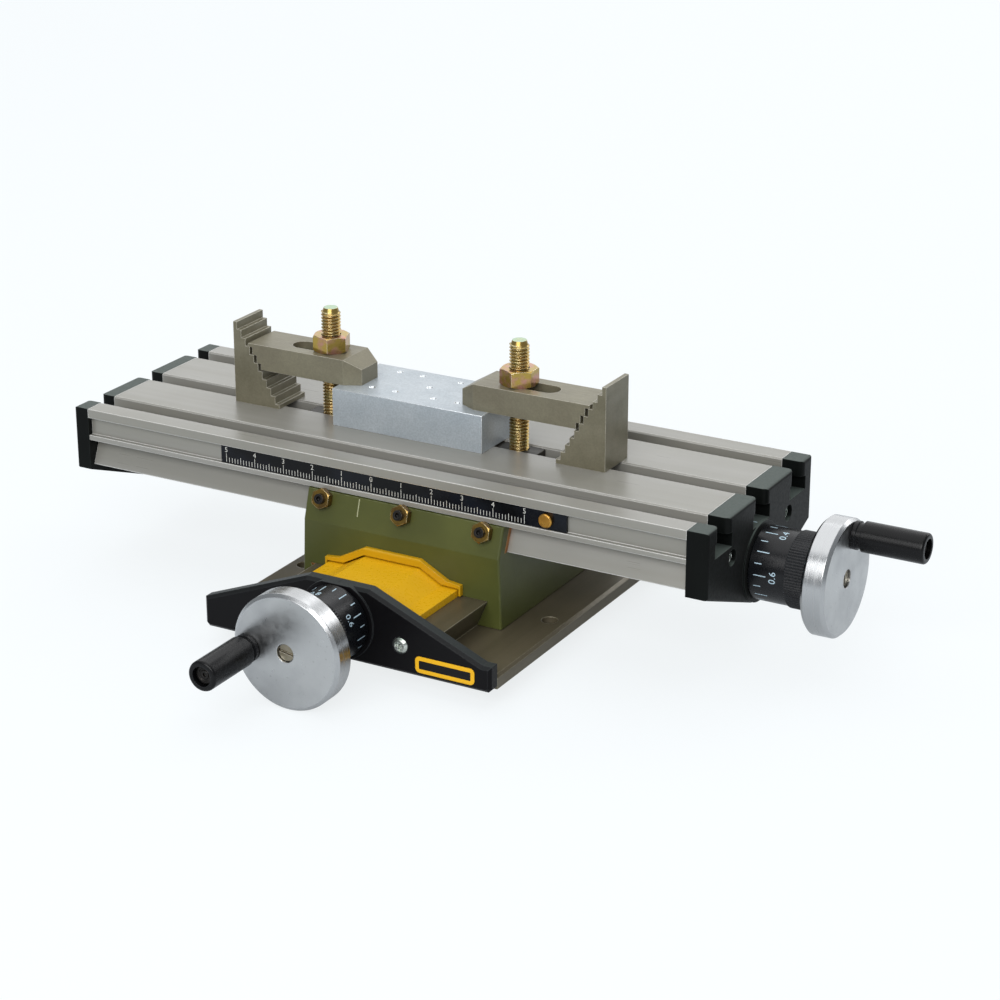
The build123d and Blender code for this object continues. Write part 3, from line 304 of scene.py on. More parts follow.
def milled_metal(name, colour, shade, bright, roughness, metallic, mark_sizes, speckle=0.0):
    """Milled or ground metal: straight cutter marks, cloudy tone, speckle and bright edges."""
    material, tree, place = start_finish(name)
    marks_scale = [per_metre(size) for size in mark_sizes]
    stretched = add_node(tree, "ShaderNodeMapping", {"Vector": place, "Scale": marks_scale})
    marks = add_node(tree, "ShaderNodeTexNoise", {
        "Vector": stretched, "Scale": 1.0, "Detail": 3.0, "Roughness": 0.6})
    cloud = add_node(tree, "ShaderNodeTexNoise", {
        "Vector": place, "Scale": per_metre(11.0), "Detail": 4.0, "Roughness": 0.6})
    body = two_tone(tree, cloud, 0.35, 0.65, colour, shade)
    # the worn surface glints in grains of about 0.5 mm
    grains = add_node(tree, "ShaderNodeTexNoise", {
        "Vector": place, "Scale": per_metre(0.5), "Detail": 2.0})
    glint = add_node(tree, "ShaderNodeMapRange", {
        "Value": grains, "From Min": 0.35, "From Max": 0.65, "To Min": -speckle,
        "To Max": speckle})
    lit = add_node(tree, "ShaderNodeHueSaturation", {
        "Value": add_node(tree, "ShaderNodeMath", {0: glint, 1: 1.0}, operation="ADD"),
        "Color": body})
    rounded, mask = rounded_edges(tree, 0.3)
    gloss = add_node(tree, "ShaderNodeMapRange", {
        "Value": marks, "From Min": 0.3, "From Max": 0.7,
        "To Min": roughness - 0.05, "To Max": roughness + 0.09})
    relief = add_node(tree, "ShaderNodeBump", {
        "Height": marks, "Distance": 0.04 * MM, "Strength": 0.4, "Normal": rounded})
    shader = add_node(tree, "ShaderNodeBsdfPrincipled", {
        "Base Color": edge_wear_and_highlight(tree, mask, 0.8, lit, bright), "Metallic": metallic,
        "Roughness": gloss, "Normal": relief})
    add_node(tree, "ShaderNodeOutputMaterial", {"Surface": shader})
    return material


def rolled_thread(name, centre, along, first, second):
    """Rolled steel feed thread: a helical ridge drawn in the surface's slope, with painted
    highlights on its crests and painted shade in its roots.
    """
    material, tree, place = start_finish(name)
    moved = add_node(tree, "ShaderNodeVectorMath", {0: place, 1: centre * MM},
                     operation="SUBTRACT")
    parts = add_node(tree, "ShaderNodeSeparateXYZ", {"Vector": moved})
    angle = add_node(tree, "ShaderNodeMath", {0: parts.outputs[first], 1: parts.outputs[second]},
                     operation="ARCTAN2")
    turns = add_node(tree, "ShaderNodeMath", {0: angle, 1: 1 / (2 * pi)}, operation="MULTIPLY")
    pitches = add_node(tree, "ShaderNodeMath", {
        0: parts.outputs[along], 1: per_metre(FEED_PITCH), 2: turns}, operation="MULTIPLY_ADD")
    ridge = add_node(tree, "ShaderNodeMath", {0: pitches, 1: 0.5}, operation="PINGPONG")
    # dark at the roots and bright at the crests: painted shade and painted highlight
    body = two_tone(tree, ridge, 0.05, 0.4, "#4E5052", "#9A9C9E")
    relief = add_node(tree, "ShaderNodeBump", {
        "Height": ridge, "Distance": 0.6 * MM, "Strength": 0.5})
    shader = add_node(tree, "ShaderNodeBsdfPrincipled", {
        "Base Color": body, "Metallic": 0.9, "Roughness": 0.3, "Normal": relief})
    add_node(tree, "ShaderNodeOutputMaterial", {"Surface": shader})
    return material


def mark_fill(name, colour, shade):
    """Matt paint filled into an engraved mark, slightly uneven in tone."""
    material, tree, place = start_finish(name)
    cloud = add_node(tree, "ShaderNodeTexNoise", {
        "Vector": place, "Scale": per_metre(0.7), "Detail": 2.0})
    shader = add_node(tree, "ShaderNodeBsdfPrincipled", {
        "Base Color": two_tone(tree, cloud, 0.4, 0.7, colour, shade), "Roughness": 0.6})
    add_node(tree, "ShaderNodeOutputMaterial", {"Surface": shader})
    return material


# Satin anodising keeps the die lines, which stretch every reflection across them; the near-white
# edge colour is a painted highlight along the edges
table_finish = anodised_extrusion(
    "satin anodised aluminium extrusion", "#95938D", "#8E8C84", "#FBFAF6",
    roughness=0.32, metallic=0.2, length_axis=0)
# Dyed olive, the base is darker and duller, with worn pale edges along its way
base_finish = anodised_extrusion(
    "olive anodised aluminium extrusion", "#645C49", "#564F3D", "#A09A84",
    roughness=0.36, metallic=0.3, length_axis=1)
# Stoved enamel on a casting: soft highlights, and edges where the paint is thin and pale
saddle_finish = enamelled_metal(
    "olive enamel on a casting", "#52562A", "#484C25", "#A4A680",
    roughness=0.34, specular=0.3, edge_amount=0.75, peel_depth=0.04)
# Gloss enamel on sheet: an even warm yellow, a little paler along the folds
yellow_finish = enamelled_metal(
    "yellow gloss enamel on sheet", "#E4B018", "#E0AC14", "#F2CC52",
    roughness=0.28, specular=0.55, edge_amount=0.25, peel_depth=0.01)
# The cast rim is painted deeper and duller, so that it stands off the sheet
rim_finish = enamelled_metal(
    "yellow enamel on a cast rim", "#C6970C", "#C2930D", "#E8C04A",
    roughness=0.3, specular=0.4, edge_amount=0.3, peel_depth=0.01)
# Grained moulding scatters the light: matt black flanks, and tops painted lighter grey as painted
# top light
cap_finish = black_finish(
    "black moulded polyamide", "#0D0F0E", "#111413", "#3C423F",
    roughness=0.4, specular=0.07, grain=0.7, grain_depth=0.05, haze=0.04, painted_top_light="#4A524E")
# Enamel on a die casting: semi-gloss black, painted lighter on top as painted top light, and a
# little grey along the edges
bracket_finish = black_finish(
    "black enamelled die casting", "#0A090B", "#0D0C0E", "#4A4E50",
    roughness=0.38, specular=0.13, grain=0.6, grain_depth=0.04, haze=0.05, painted_top_light="#303434")
# Black anodising on a turned ring keeps one clear highlight along it
ring_finish = black_finish(
    "black anodised turned ring", "#0B0C0F", "#101216", "#34383C",
    roughness=0.26, specular=0.35, grain=0.3, grain_depth=0.01, edge_radius=0.15)
# Turned acetal is smooth and waxy: a long soft highlight on deep black
handle_finish = black_finish(
    "turned black acetal", "#09090A", "#0E0E10", "#2C2E32",
    roughness=0.26, specular=0.22, grain=0.3, grain_depth=0.01)
# Glossy film lies slightly wavy: black with a bluish mottle
strip_finish = black_finish(
    "black film scale strip", "#090A0C", "#161A22", "#24262A",
    roughness=0.2, specular=0.18, grain=2.4, grain_depth=0.08, edge_radius=0.05)
# Printed film without gloss: a flat even black
label_black = black_finish(
    "plain black label field", "#0E0E10", "#131315", "#1C1C1E",
    roughness=0.35, specular=0.2, grain=0.5, grain_depth=0.01, edge_radius=0.05)
# The turning tool's feed lines draw highlights round the rim, and the face is scuffed dull
cross_wheel_finish = turned_aluminium(
    "turned aluminium of the cross wheel", CROSS_AXIS, CROSS_DRIVE, "Y")
long_wheel_finish = turned_aluminium(
    "turned aluminium of the long wheel", LONG_AXIS, LONG_DRIVE, "X")
# Yellow passivation over zinc: gold that shifts to rose in patches, with painted highlights on the
# corners
yellow_zinc = plated_steel(
    "yellow passivated zinc on a nut", "#B0964C", "#C08E80", "#FFF4E4", roughness=0.18)
# The small lock nuts are browner and darker, with painted highlights along their edges
lock_nut_zinc = plated_steel(
    "dark yellow passivated zinc on a lock nut", "#927438", "#6E5630", "#FFF2CC",
    roughness=0.18)
# On the thread the coat is uneven, between gold and olive, and the crests' edges take painted
# highlights
stud_zinc = plated_steel(
    "yellow passivated zinc on a thread", "#B0904E", "#9C8C52", "#F8ECC0", roughness=0.22)
# The stud's cut end took the coat as a dull pale green
stud_end_zinc = plated_steel(
    "green passivated zinc on a stud's end", "#A9C4A8", "#B8C49C", "#E8F0D8",
    roughness=0.3, metallic=0.7)
# Clear zinc on pressed screw heads: silver with a green cast
bright_zinc = plated_steel(
    "clear zinc on steel", "#C8CCC6", "#A3B0A4", "#FAFCF8", roughness=0.2)
# Bare steel of the slotted screws, dulled by handling to a brownish grey
wheel_screw_finish = plated_steel(
    "slotted steel screw", "#9C9482", "#857C68", "#D8D2C4", roughness=0.35)
# Black oxide leaves the steel's sheen under a dark coat that wears grey at the edges
black_oxide = plated_steel(
    "black oxide on steel", "#1A1918", "#232120", "#4C4844", roughness=0.35, metallic=0.6)
# Machined brass: a warm yellow metal with a satin face
brass_finish = plated_steel(
    "machined brass", "#C89442", "#B5823A", "#EBCB84", roughness=0.28, metallic=1.0)
# Drawn bronze strip: a copper brown line beside the table's flank
gib_finish = plated_steel(
    "drawn bronze gib strip", "#A86F3C", "#8C5A30", "#D8A878", roughness=0.32)
# Machined bearing bronze: brown gold with cutter marks
bronze_finish = milled_metal(
    "machined bearing bronze", "#9C7140", "#84602F", "#C79A62",
    roughness=0.35, metallic=1.0, mark_sizes=(0.5, 0.5, 8.0))
# Phosphate darkens the T-nuts to a matt brown black
t_nut_finish = milled_metal(
    "dark phosphated steel T-nut", "#3A3730", "#2E2B26", "#6A665A",
    roughness=0.45, metallic=0.3, mark_sizes=(6.0, 0.6, 0.6))
# Thin phosphate on milled steel: greenish grey, with cutter marks along and bright edges
clamp_finish = milled_metal(
    "phosphated milled steel arm", "#7E7965", "#736D5B", "#D2CEC0",
    roughness=0.38, metallic=0.3, mark_sizes=(7.0, 0.5, 0.5), speckle=0.06)
# The step blocks' cutter marks run across, along their steps
block_finish = milled_metal(
    "phosphated milled steel block", "#7C7764", "#6C6754", "#DCD8CA",
    roughness=0.36, metallic=0.3, mark_sizes=(0.5, 6.0, 2.2), speckle=0.06)
# Bare milled aluminium: pale and cloudy, and glinting in fine grains
work_finish = milled_metal(
    "milled aluminium workpiece", "#B2B9BE", "#A8B0B6", "#FAFCFC",
    roughness=0.34, metallic=0.35, mark_sizes=(4.0, 0.7, 0.5), speckle=0.09)
# Where a punch or a file has burnished it, the aluminium gives small bright glints
dimple_finish = milled_metal(
    "burnished aluminium edge or punch mark", "#E4E9EC", "#D6DBDE", "#F4F6F6",
    roughness=0.16, metallic=0.85, mark_sizes=(0.8, 0.8, 0.8))
# Rolled feed threads: painted highlights on the crests and painted shade in the roots, winding
# round the spindle
long_screw_finish = rolled_thread(
    "rolled steel thread of the long spindle", LONG_AXIS, "X", "Y", "Z")
cross_screw_finish = rolled_thread(
    "rolled steel thread of the cross spindle", CROSS_AXIS, "Y", "X", "Z")
# Paint and print in the marks is matt, so that they read the same from every side
ring_fill = mark_fill("pale blue paint in the rings' marks", "#BFD6E2", "#A9C2D0")
strip_fill = mark_fill("white print on the scale strip", "#CECEC8", "#BAB8B0")
# The bracket's index groove is drawn as a near-black line: painted shade in the groove
index_groove_shade = mark_fill("painted shade of the index groove", "#050506", "#0A0A0B")
olive_fill = mark_fill("index groove in olive enamel", "#A3A583", "#8C8E6C")
# The label's border is printed in a flat strong yellow
label_yellow = enamelled_metal(
    "yellow printed border", "#F2B812", "#ECB010", "#F2B812",
    roughness=0.35, specular=0.4, edge_amount=0.0, peel_depth=0.01)

dress = {
    "table": table_finish, "base": base_finish, "saddle": saddle_finish,
    "front_bracket": bracket_finish, "left_end_cap": cap_finish, "right_end_cap": cap_finish,
    "spindle_cover": yellow_finish, "tunnel_frame": rim_finish,
    "table_gib": gib_finish, "cross_gib": gib_finish,
    "table_gib_screws": black_oxide, "cross_gib_screws": black_oxide,
    "table_gib_nuts": lock_nut_zinc, "cross_gib_nuts": lock_nut_zinc,
    "bracket_screws": bright_zinc, "cap_screws": bright_zinc, "cross_nut_screw": bright_zinc,
    "long_spindle_nut": bronze_finish, "cross_spindle_nut": bronze_finish,
    "cross_bush": bronze_finish, "long_bushes": bronze_finish,
    "scale_strip": strip_finish, "scale_screw": brass_finish, "workpiece": work_finish,
    "long_spindle": long_screw_finish, "cross_spindle": cross_screw_finish,
    "long_handwheel": long_wheel_finish, "cross_handwheel": cross_wheel_finish,
    "long_wheel_screw": wheel_screw_finish, "cross_wheel_screw": wheel_screw_finish,
    "long_scale_ring": ring_finish, "cross_scale_ring": ring_finish,
    "long_handle": handle_finish, "cross_handle": handle_finish,
    "long_handle_pin": black_oxide, "cross_handle_pin": black_oxide,
    "left_step_block": block_finish, "right_step_block": block_finish,
    "left_clamp_arm": clamp_finish, "right_clamp_arm": clamp_finish,
    "left_stud": stud_zinc, "right_stud": stud_zinc,
    "left_clamp_nut": yellow_zinc, "right_clamp_nut": yellow_zinc,
    "left_t_nut": t_nut_finish, "right_t_nut": t_nut_finish,
}


def paint(piece, material):
    """Give a whole piece one material."""
    piece.data.materials.clear()
    piece.data.materials.append(material)
    return piece


for name, material in dress.items():
    paint(NODES[name], material)


def select_only(piece):
    """Deselect everything, then select and activate one piece."""
    bpy.ops.object.select_all(action="DESELECT")
    piece.select_set(True)
    bpy.context.view_layer.objects.active = piece


def into_place(piece, matrix):
    """Put a piece's place into its mesh and leave its object at the origin."""
    piece.data.transform(matrix @ piece.matrix_basis)
    piece.matrix_basis = Matrix.Identity(4)
    return piece


def join(name, pieces):
    """Join pieces into one named piece."""
    bpy.ops.object.select_all(action="DESELECT")
    for piece in pieces:
        piece.select_set(True)
    bpy.context.view_layer.objects.active = pieces[0]
    bpy.ops.object.join()
    joined = bpy.context.view_layer.objects.active
    joined.name = name
    joined.data.name = name
    return joined


def mesh_piece(name, points, edges, faces):
    """New piece, selected, from points in metres and the edges or faces between them."""
    mesh = bpy.data.meshes.new(name)
    mesh.from_pydata(points, edges, faces)
    piece = bpy.data.objects.new(name, mesh)
    bpy.context.collection.objects.link(piece)
    select_only(piece)
    return piece


def face_outwards():
    """In edit mode: turn every face of the piece outwards and go back to object mode."""
    bpy.ops.mesh.select_all(action="SELECT")
    bpy.ops.mesh.normals_make_consistent(inside=False)
    bpy.ops.mesh.select_all(action="DESELECT")
    bpy.ops.object.mode_set(mode="OBJECT")


def frame_at(origin, right, top):
    """Matrix from a flat drawing (x right, y up, z out) to a place in millimetres."""
    right = Vector(right).normalized()
    top = Vector(top).normalized()
    out = right.cross(top)
    columns = Matrix((right, top, out)).transposed().to_4x4()
    return Matrix.Translation(Vector(origin) * MM) @ columns


def away_from(drive, angle):
    """Direction out from an axis, at an angle counted round it from straight up."""
    return UP * cos(angle) + drive.cross(UP) * sin(angle)


def box_piece(width, height, thickness, matrix):
    """Box of a size in millimetres, centred on its place."""
    bpy.ops.object.select_all(action="DESELECT")
    bpy.ops.mesh.primitive_cube_add(size=1.0)
    piece = bpy.context.object
    piece.data.transform(Matrix.Diagonal((width * MM, height * MM, thickness * MM, 1.0)))
    return into_place(piece, matrix)


# Height of a figure as a share of its font's size
FIGURE_SHARE = 0.73


def glyph(character, height, thickness, matrix):
    """One figure as a thin mesh, centred on its place."""
    bpy.ops.object.select_all(action="DESELECT")
    bpy.ops.object.text_add()
    text = bpy.context.object
    text.data.body = character
    text.data.size = height * MM / FIGURE_SHARE
    text.data.resolution_u = 3
    text.data.extrude = thickness * MM / 2
    text.data.align_x = "CENTER"
    text.data.align_y = "CENTER"
    bpy.ops.object.convert(target="MESH")
    return into_place(bpy.context.object, matrix)


# Scale rings with a fine knurl
RING_LENGTH = 17.7
RING_BORE = 7.05
RING_BEVEL = 0.4
GRIP_START = 11.7
GRIP_RADIUS = 11.1
GRIP_CHAMFER = 0.2
# The points of the ring's profile that lie on the grip's crest, and so carry the knurl
GRIP_CREST = (3, 4)
KNURL_RIDGES = 80
KNURL_DEPTH = 0.3
# Share of the knurl's depth that is cut away at each point of a ridge
KNURL_CUTS = (1.0, 0.25, 0.0, 0.25)

# Heads of the handle pins: a groove round a small centre hole
PIN_SIDES = 48
PIN_SHANK_RADIUS = 2.0
PIN_HEAD_RADIUS = 2.5
PIN_HEAD_LENGTH = 1.6
PIN_GROOVE_OUTER = 1.9
PIN_GROOVE_INNER = 1.2
PIN_GROOVE_DEPTH = 0.35
PIN_GROOVE_TAPER = 0.15
PIN_HOLE_RADIUS = 0.6
PIN_HOLE_DEPTH = 0.7
PIN_HOLE_TAPER = 0.2


def turned_piece(name, origin, drive, profile, steps, ridged=()):
    """Closed profile (distance, radius) turned round an axis; ridged points are knurled."""
    points = []
    for step in range(steps):
        outward = away_from(drive, 2 * pi * step / steps)
        for index, (distance, radius) in enumerate(profile):
            if index in ridged:
                radius -= KNURL_DEPTH * KNURL_CUTS[step % len(KNURL_CUTS)]
            points.append((origin + drive * distance + outward * radius) * MM)
    count = len(profile)
    faces = []
    for step in range(steps):
        here, there = step * count, (step + 1) % steps * count
        for index in range(count):
            after = (index + 1) % count
            faces.append((here + index, there + index, there + after, here + after))
    piece = mesh_piece(name, points, [], faces)
    bpy.ops.object.mode_set(mode="EDIT")
    bpy.ops.mesh.select_all(action="SELECT")
    bpy.ops.mesh.remove_doubles(threshold=0.0001 * MM)
    face_outwards()
    bpy.ops.object.shade_smooth_by_angle(angle=SMOOTH_ANGLE)
    return piece


def knurled_ring(slide, origin, drive):
    """Scale ring with a close straight knurl, in place of its plainer CAD node."""
    end = RING_START + RING_LENGTH
    profile = [
        (RING_START, RING_BORE), (end, RING_BORE), (end, GRIP_RADIUS - RING_BEVEL),
        (end - RING_BEVEL, GRIP_RADIUS), (GRIP_START + GRIP_CHAMFER, GRIP_RADIUS),
        (GRIP_START, GRIP_RADIUS - GRIP_CHAMFER), (GRIP_START, RING_RADIUS),
        (RING_START + RING_BEVEL, RING_RADIUS), (RING_START, RING_RADIUS - RING_BEVEL)]
    piece = turned_piece(f"{slide}_knurled_ring", origin, drive, profile,
                         len(KNURL_CUTS) * KNURL_RIDGES, GRIP_CREST)
    paint(piece, ring_finish)
    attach(piece, f"{slide}_ring")
    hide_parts(f"{slide}_scale_ring")


def ringed_pin(slide, drive):
    """Handle pin with a grooved and drilled head, in place of its plainer CAD node."""
    node = NODES[f"{slide}_handle_pin"]
    corners = [node.matrix_world @ Vector(corner) / MM for corner in node.bound_box]
    middle = sum(corners, Vector()) / len(corners)
    end = max(abs((corner - middle).dot(drive)) for corner in corners)
    head = end - PIN_HEAD_LENGTH
    groove = end - PIN_GROOVE_DEPTH
    hole = end - PIN_HOLE_DEPTH
    profile = [
        (-end, 0.0), (-end, PIN_SHANK_RADIUS), (head, PIN_SHANK_RADIUS),
        (head, PIN_HEAD_RADIUS), (end, PIN_HEAD_RADIUS), (end, PIN_GROOVE_OUTER),
        (groove, PIN_GROOVE_OUTER - PIN_GROOVE_TAPER),
        (groove, PIN_GROOVE_INNER + PIN_GROOVE_TAPER), (end, PIN_GROOVE_INNER),
        (end, PIN_HOLE_RADIUS), (hole, PIN_HOLE_RADIUS - PIN_HOLE_TAPER), (hole, 0.0)]
    piece = turned_piece(f"{slide}_ringed_pin", middle, drive, profile, PIN_SIDES)
    paint(piece, black_oxide)
    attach(piece, f"{slide}_spindle")
    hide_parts(f"{slide}_handle_pin")


for slide, origin, drive in (("cross", CROSS_AXIS, CROSS_DRIVE), ("long", LONG_AXIS, LONG_DRIVE)):
    knurled_ring(slide, origin, drive)
    ringed_pin(slide, drive)

# Graduations of the scale rings: a mark stands a hair proud of the surface it lies on
MARK_RAISE = 0.012
MARK_THICKNESS = 0.05
RING_DIVISIONS = 20
LONG_TICK = 3.7
SHORT_TICK = 2.1
TICK_START = 1.9
TICK_WIDTH = 0.28
DIVISIONS_PER_FIGURE = 4
FIGURE_CENTRE = 7.6
FIGURE_HEIGHT = 2.1
FIGURE_ADVANCE = 1.35
# A decimal point takes less room than a digit, which takes one advance
POINT_ADVANCE = 0.62
RING_FIGURES = ("0", "0.2", "0.4", "0.6", "0.8")
# The first tick stands at an angle from straight up, beside the figure of this number
FIRST_FIGURE = 3
CROSS_FIRST_TICK = -63.0
LONG_FIRST_TICK = 88.0


def ring_marks(slide, origin, drive, first_tick):
    """Ticks and figures round a ring: drive points out through the handwheel.

    The angle is counted round the drive from straight up; figures have their tops
    towards the bearing and rise by one label every four ticks.
    """
    depth = RING_RADIUS + MARK_RAISE - MARK_THICKNESS / 2
    marks = []

    def place(angle, distance):
        outward = away_from(drive, angle)
        right = (-drive).cross(outward)
        return frame_at(origin + drive * distance + outward * depth, right, -drive)

    for division in range(RING_DIVISIONS):
        angle = radians(first_tick) + division * 2 * pi / RING_DIVISIONS
        length = LONG_TICK if division % 2 == 0 else SHORT_TICK
        middle = RING_START + TICK_START + length / 2
        marks.append(box_piece(TICK_WIDTH, length, MARK_THICKNESS, place(angle, middle)))
        if division % DIVISIONS_PER_FIGURE == 0:
            figure = FIRST_FIGURE + division // DIVISIONS_PER_FIGURE
            label = RING_FIGURES[figure % len(RING_FIGURES)]
            advances = [POINT_ADVANCE if c == "." else 1.0 for c in label]
            total = sum(advances)
            run = 0.0
            for character, advance in zip(label, advances):
                offset = (run + advance / 2 - total / 2) * FIGURE_ADVANCE
                run += advance
                marks.append(glyph(
                    character, FIGURE_HEIGHT, MARK_THICKNESS,
                    place(angle - offset / RING_RADIUS, RING_START + FIGURE_CENTRE)))
    piece = join(f"{slide}_ring_marks", marks)
    paint(piece, ring_fill)
    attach(piece, f"{slide}_ring")


ring_marks("cross", CROSS_AXIS, CROSS_DRIVE, CROSS_FIRST_TICK)
ring_marks("long", LONG_AXIS, LONG_DRIVE, LONG_FIRST_TICK)

# Graduations of the scale strip, which lies in the groove of the table's front
GROOVE_TOP = 2.8
GROOVE_HEIGHT = 5.6
GROOVE_DEPTH = 1.75
STRIP_THICKNESS = 1.05
STRIP_GAP = 0.05
STRIP_FACE_Y = TABLE_Y - TABLE_HALF_WIDTH + GROOVE_DEPTH - STRIP_THICKNESS
STRIP_BOTTOM = TABLE_TOP - GROOVE_TOP - GROOVE_HEIGHT + STRIP_GAP
STRIP_HALF_RANGE = 50
STRIP_TICKS = {10: 2.6, 5: 2.0, 1: 1.5}
STRIP_TICK_WIDTH = 0.18
STRIP_MARGIN = 0.3
STRIP_FIGURE = 1.6


def strip_marks():
    """Millimetre marks and centimetre figures on the scale strip."""
    marks = []

    def place(x, height):
        out = STRIP_FACE_Y - MARK_RAISE + MARK_THICKNESS / 2
        return frame_at((TABLE_X + x, out, STRIP_BOTTOM + height), (1, 0, 0), UP)

    for millimetre in range(-STRIP_HALF_RANGE, STRIP_HALF_RANGE + 1):
        step = 10 if millimetre % 10 == 0 else 5 if millimetre % 5 == 0 else 1
        length = STRIP_TICKS[step]
        marks.append(box_piece(STRIP_TICK_WIDTH, length, MARK_THICKNESS,
                               place(millimetre, STRIP_MARGIN + length / 2)))
        if step == 10:
            above = STRIP_MARGIN + length + STRIP_MARGIN + STRIP_FIGURE / 2
            marks.append(glyph(str(abs(millimetre) // 10), STRIP_FIGURE, MARK_THICKNESS,
                               place(millimetre, above)))
    piece = paint(join("scale_strip_marks", marks), strip_fill)
    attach(piece, "scale")


strip_marks()

# Clamp studs with a real thread; a stud's place is counted from the table's centre
LEFT_STUD = -34.6
RIGHT_STUD = 29.4
STUD_RADIUS = 2.95
STUD_ROOT = 2.34
STUD_PITCH = 1.0
STUD_FOOT = TABLE_TOP - 8.2
STUD_TOP = TABLE_TOP + 32.6
# Radius, and height as a share of the pitch, along one turn of the thread
THREAD_PROFILE = ((STUD_ROOT, 0.0), (STUD_RADIUS, 0.42), (STUD_RADIUS, 0.52),
                  (STUD_ROOT, 0.94), (STUD_ROOT, 1.0))
THREAD_STEPS = 20
# Turns past each end of the thread, which are cut off again
THREAD_OVERRUN = 1.5
STUD_TIP_LENGTH = 1.3
STUD_TIP_RADIUS = 2.1
STUD_TIP_FOOT_RADIUS = STUD_RADIUS - 0.3
STUD_TIP_SIDES = 48
# The tip reaches a little down into the thread
STUD_TIP_SUNK = 0.4


def threaded_stud(side, x):
    """Thread profile screwed up its axis and cut flat, with a plain coned tip."""
    name = f"{side}_threaded_stud"
    points = [(radius * MM, 0.0, share * STUD_PITCH * MM) for radius, share in THREAD_PROFILE]
    piece = mesh_piece(name, points, [(i, i + 1) for i in range(len(points) - 1)], [])
    screw = piece.modifiers.new("thread", "SCREW")
    screw.axis = "Z"
    screw.screw_offset = STUD_PITCH * MM
    screw.iterations = int((STUD_TOP - STUD_FOOT) / STUD_PITCH) + int(2 * THREAD_OVERRUN)
    screw.steps = THREAD_STEPS
    screw.render_steps = THREAD_STEPS
    screw.use_merge_vertices = True
    screw.merge_threshold = 0.001 * MM
    bpy.ops.object.modifier_apply(modifier="thread")
    start = STUD_FOOT - THREAD_OVERRUN * STUD_PITCH
    into_place(piece, Matrix.Translation(Vector((x, TABLE_Y, start)) * MM))
    bpy.ops.object.mode_set(mode="EDIT")
    for height, outer in ((STUD_FOOT, False), (STUD_TOP - STUD_TIP_LENGTH, True)):
        bpy.ops.mesh.select_all(action="SELECT")
        bpy.ops.mesh.bisect(plane_co=(x * MM, TABLE_Y * MM, height * MM), plane_no=UP,
                            use_fill=True, clear_outer=outer, clear_inner=not outer)
    face_outwards()
    paint(piece, stud_zinc)
    tip_length = STUD_TIP_LENGTH + STUD_TIP_SUNK
    bpy.ops.object.select_all(action="DESELECT")
    bpy.ops.mesh.primitive_cone_add(
        vertices=STUD_TIP_SIDES, radius1=STUD_TIP_FOOT_RADIUS * MM,
        radius2=STUD_TIP_RADIUS * MM, depth=tip_length * MM,
        location=Vector((x, TABLE_Y, STUD_TOP - tip_length / 2)) * MM)
    tip = into_place(bpy.context.object, Matrix.Identity(4))
    tip.data.materials.append(stud_zinc)
    tip.data.materials.append(stud_end_zinc)
    highest = max(tip.data.polygons, key=lambda face: face.center.z).index
    tip.data.polygons[highest].material_index = 1
    piece = join(name, [piece, tip])
    bpy.ops.object.shade_smooth_by_angle(angle=SMOOTH_ANGLE)
    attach(piece, f"{side}_clamp")
    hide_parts(f"{side}_stud")


threaded_stud("left", TABLE_X + LEFT_STUD)
threaded_stud("right", TABLE_X + RIGHT_STUD)

# Workpiece with punched dimples, whose places are counted from the table's centre
WORK_CENTRE = (TABLE_X - 2.4, TABLE_Y + 2.55)
WORK_LENGTH = 50.8
WORK_WIDTH = 26.5
WORK_HEIGHT = 11.5
WORK_EASING = 0.25
DIMPLES = ((-18, -4), (-10, -4), (-3, 4), (3, -4), (11, -4),
           (-18, 12), (-10, 12), (3, 12), (11, 12))
DIMPLE_RADIUS = 1.05
# The punch's centre stays above the surface, so that it leaves a shallow bowl
DIMPLE_LIFT = 0.45


def dimpled_workpiece():
    """Milled block with its edges eased and small punched dimples on top."""
    centre = Vector((*WORK_CENTRE, TABLE_TOP + WORK_HEIGHT / 2)) * MM
    block = box_piece(WORK_LENGTH, WORK_WIDTH, WORK_HEIGHT, Matrix.Translation(centre))
    block.name = "dimpled_workpiece"
    # the eased edges are rubbed as bright as the punch marks
    paint(block, work_finish)
    block.data.materials.append(dimple_finish)
    easing = block.modifiers.new("eased edges", "BEVEL")
    easing.width = WORK_EASING * MM
    easing.segments = 1
    easing.material = 1
    for x, y in DIMPLES:
        place = Vector((TABLE_X + x, TABLE_Y + y, TABLE_TOP + WORK_HEIGHT + DIMPLE_LIFT)) * MM
        bpy.ops.object.select_all(action="DESELECT")
        bpy.ops.mesh.primitive_uv_sphere_add(segments=16, ring_count=8,
                                             radius=DIMPLE_RADIUS * MM)
        punch = paint(bpy.context.object, dimple_finish)
        into_place(punch, Matrix.Translation(place))
        select_only(block)
        cut = block.modifiers.new("dimple", "BOOLEAN")
        cut.operation = "DIFFERENCE"
        cut.object = punch
        cut.solver = "EXACT"
        cut.material_mode = "TRANSFER"
        bpy.ops.object.modifier_apply(modifier="dimple")
        bpy.data.objects.remove(punch)
    bpy.ops.object.shade_smooth_by_angle(angle=SMOOTH_ANGLE)
    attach(block, "table")
    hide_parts("workpiece")


dimpled_workpiece()

# Plain label on the bracket: a yellow border round a bare black field
LABEL_LEFT = 23.3
LABEL_RIGHT = 42.0
LABEL_BOTTOM = 1.5
LABEL_TOP = 6.4
LABEL_CORNER = 1.4
LABEL_BORDER = 1.2
LABEL_THICKNESS = 0.18


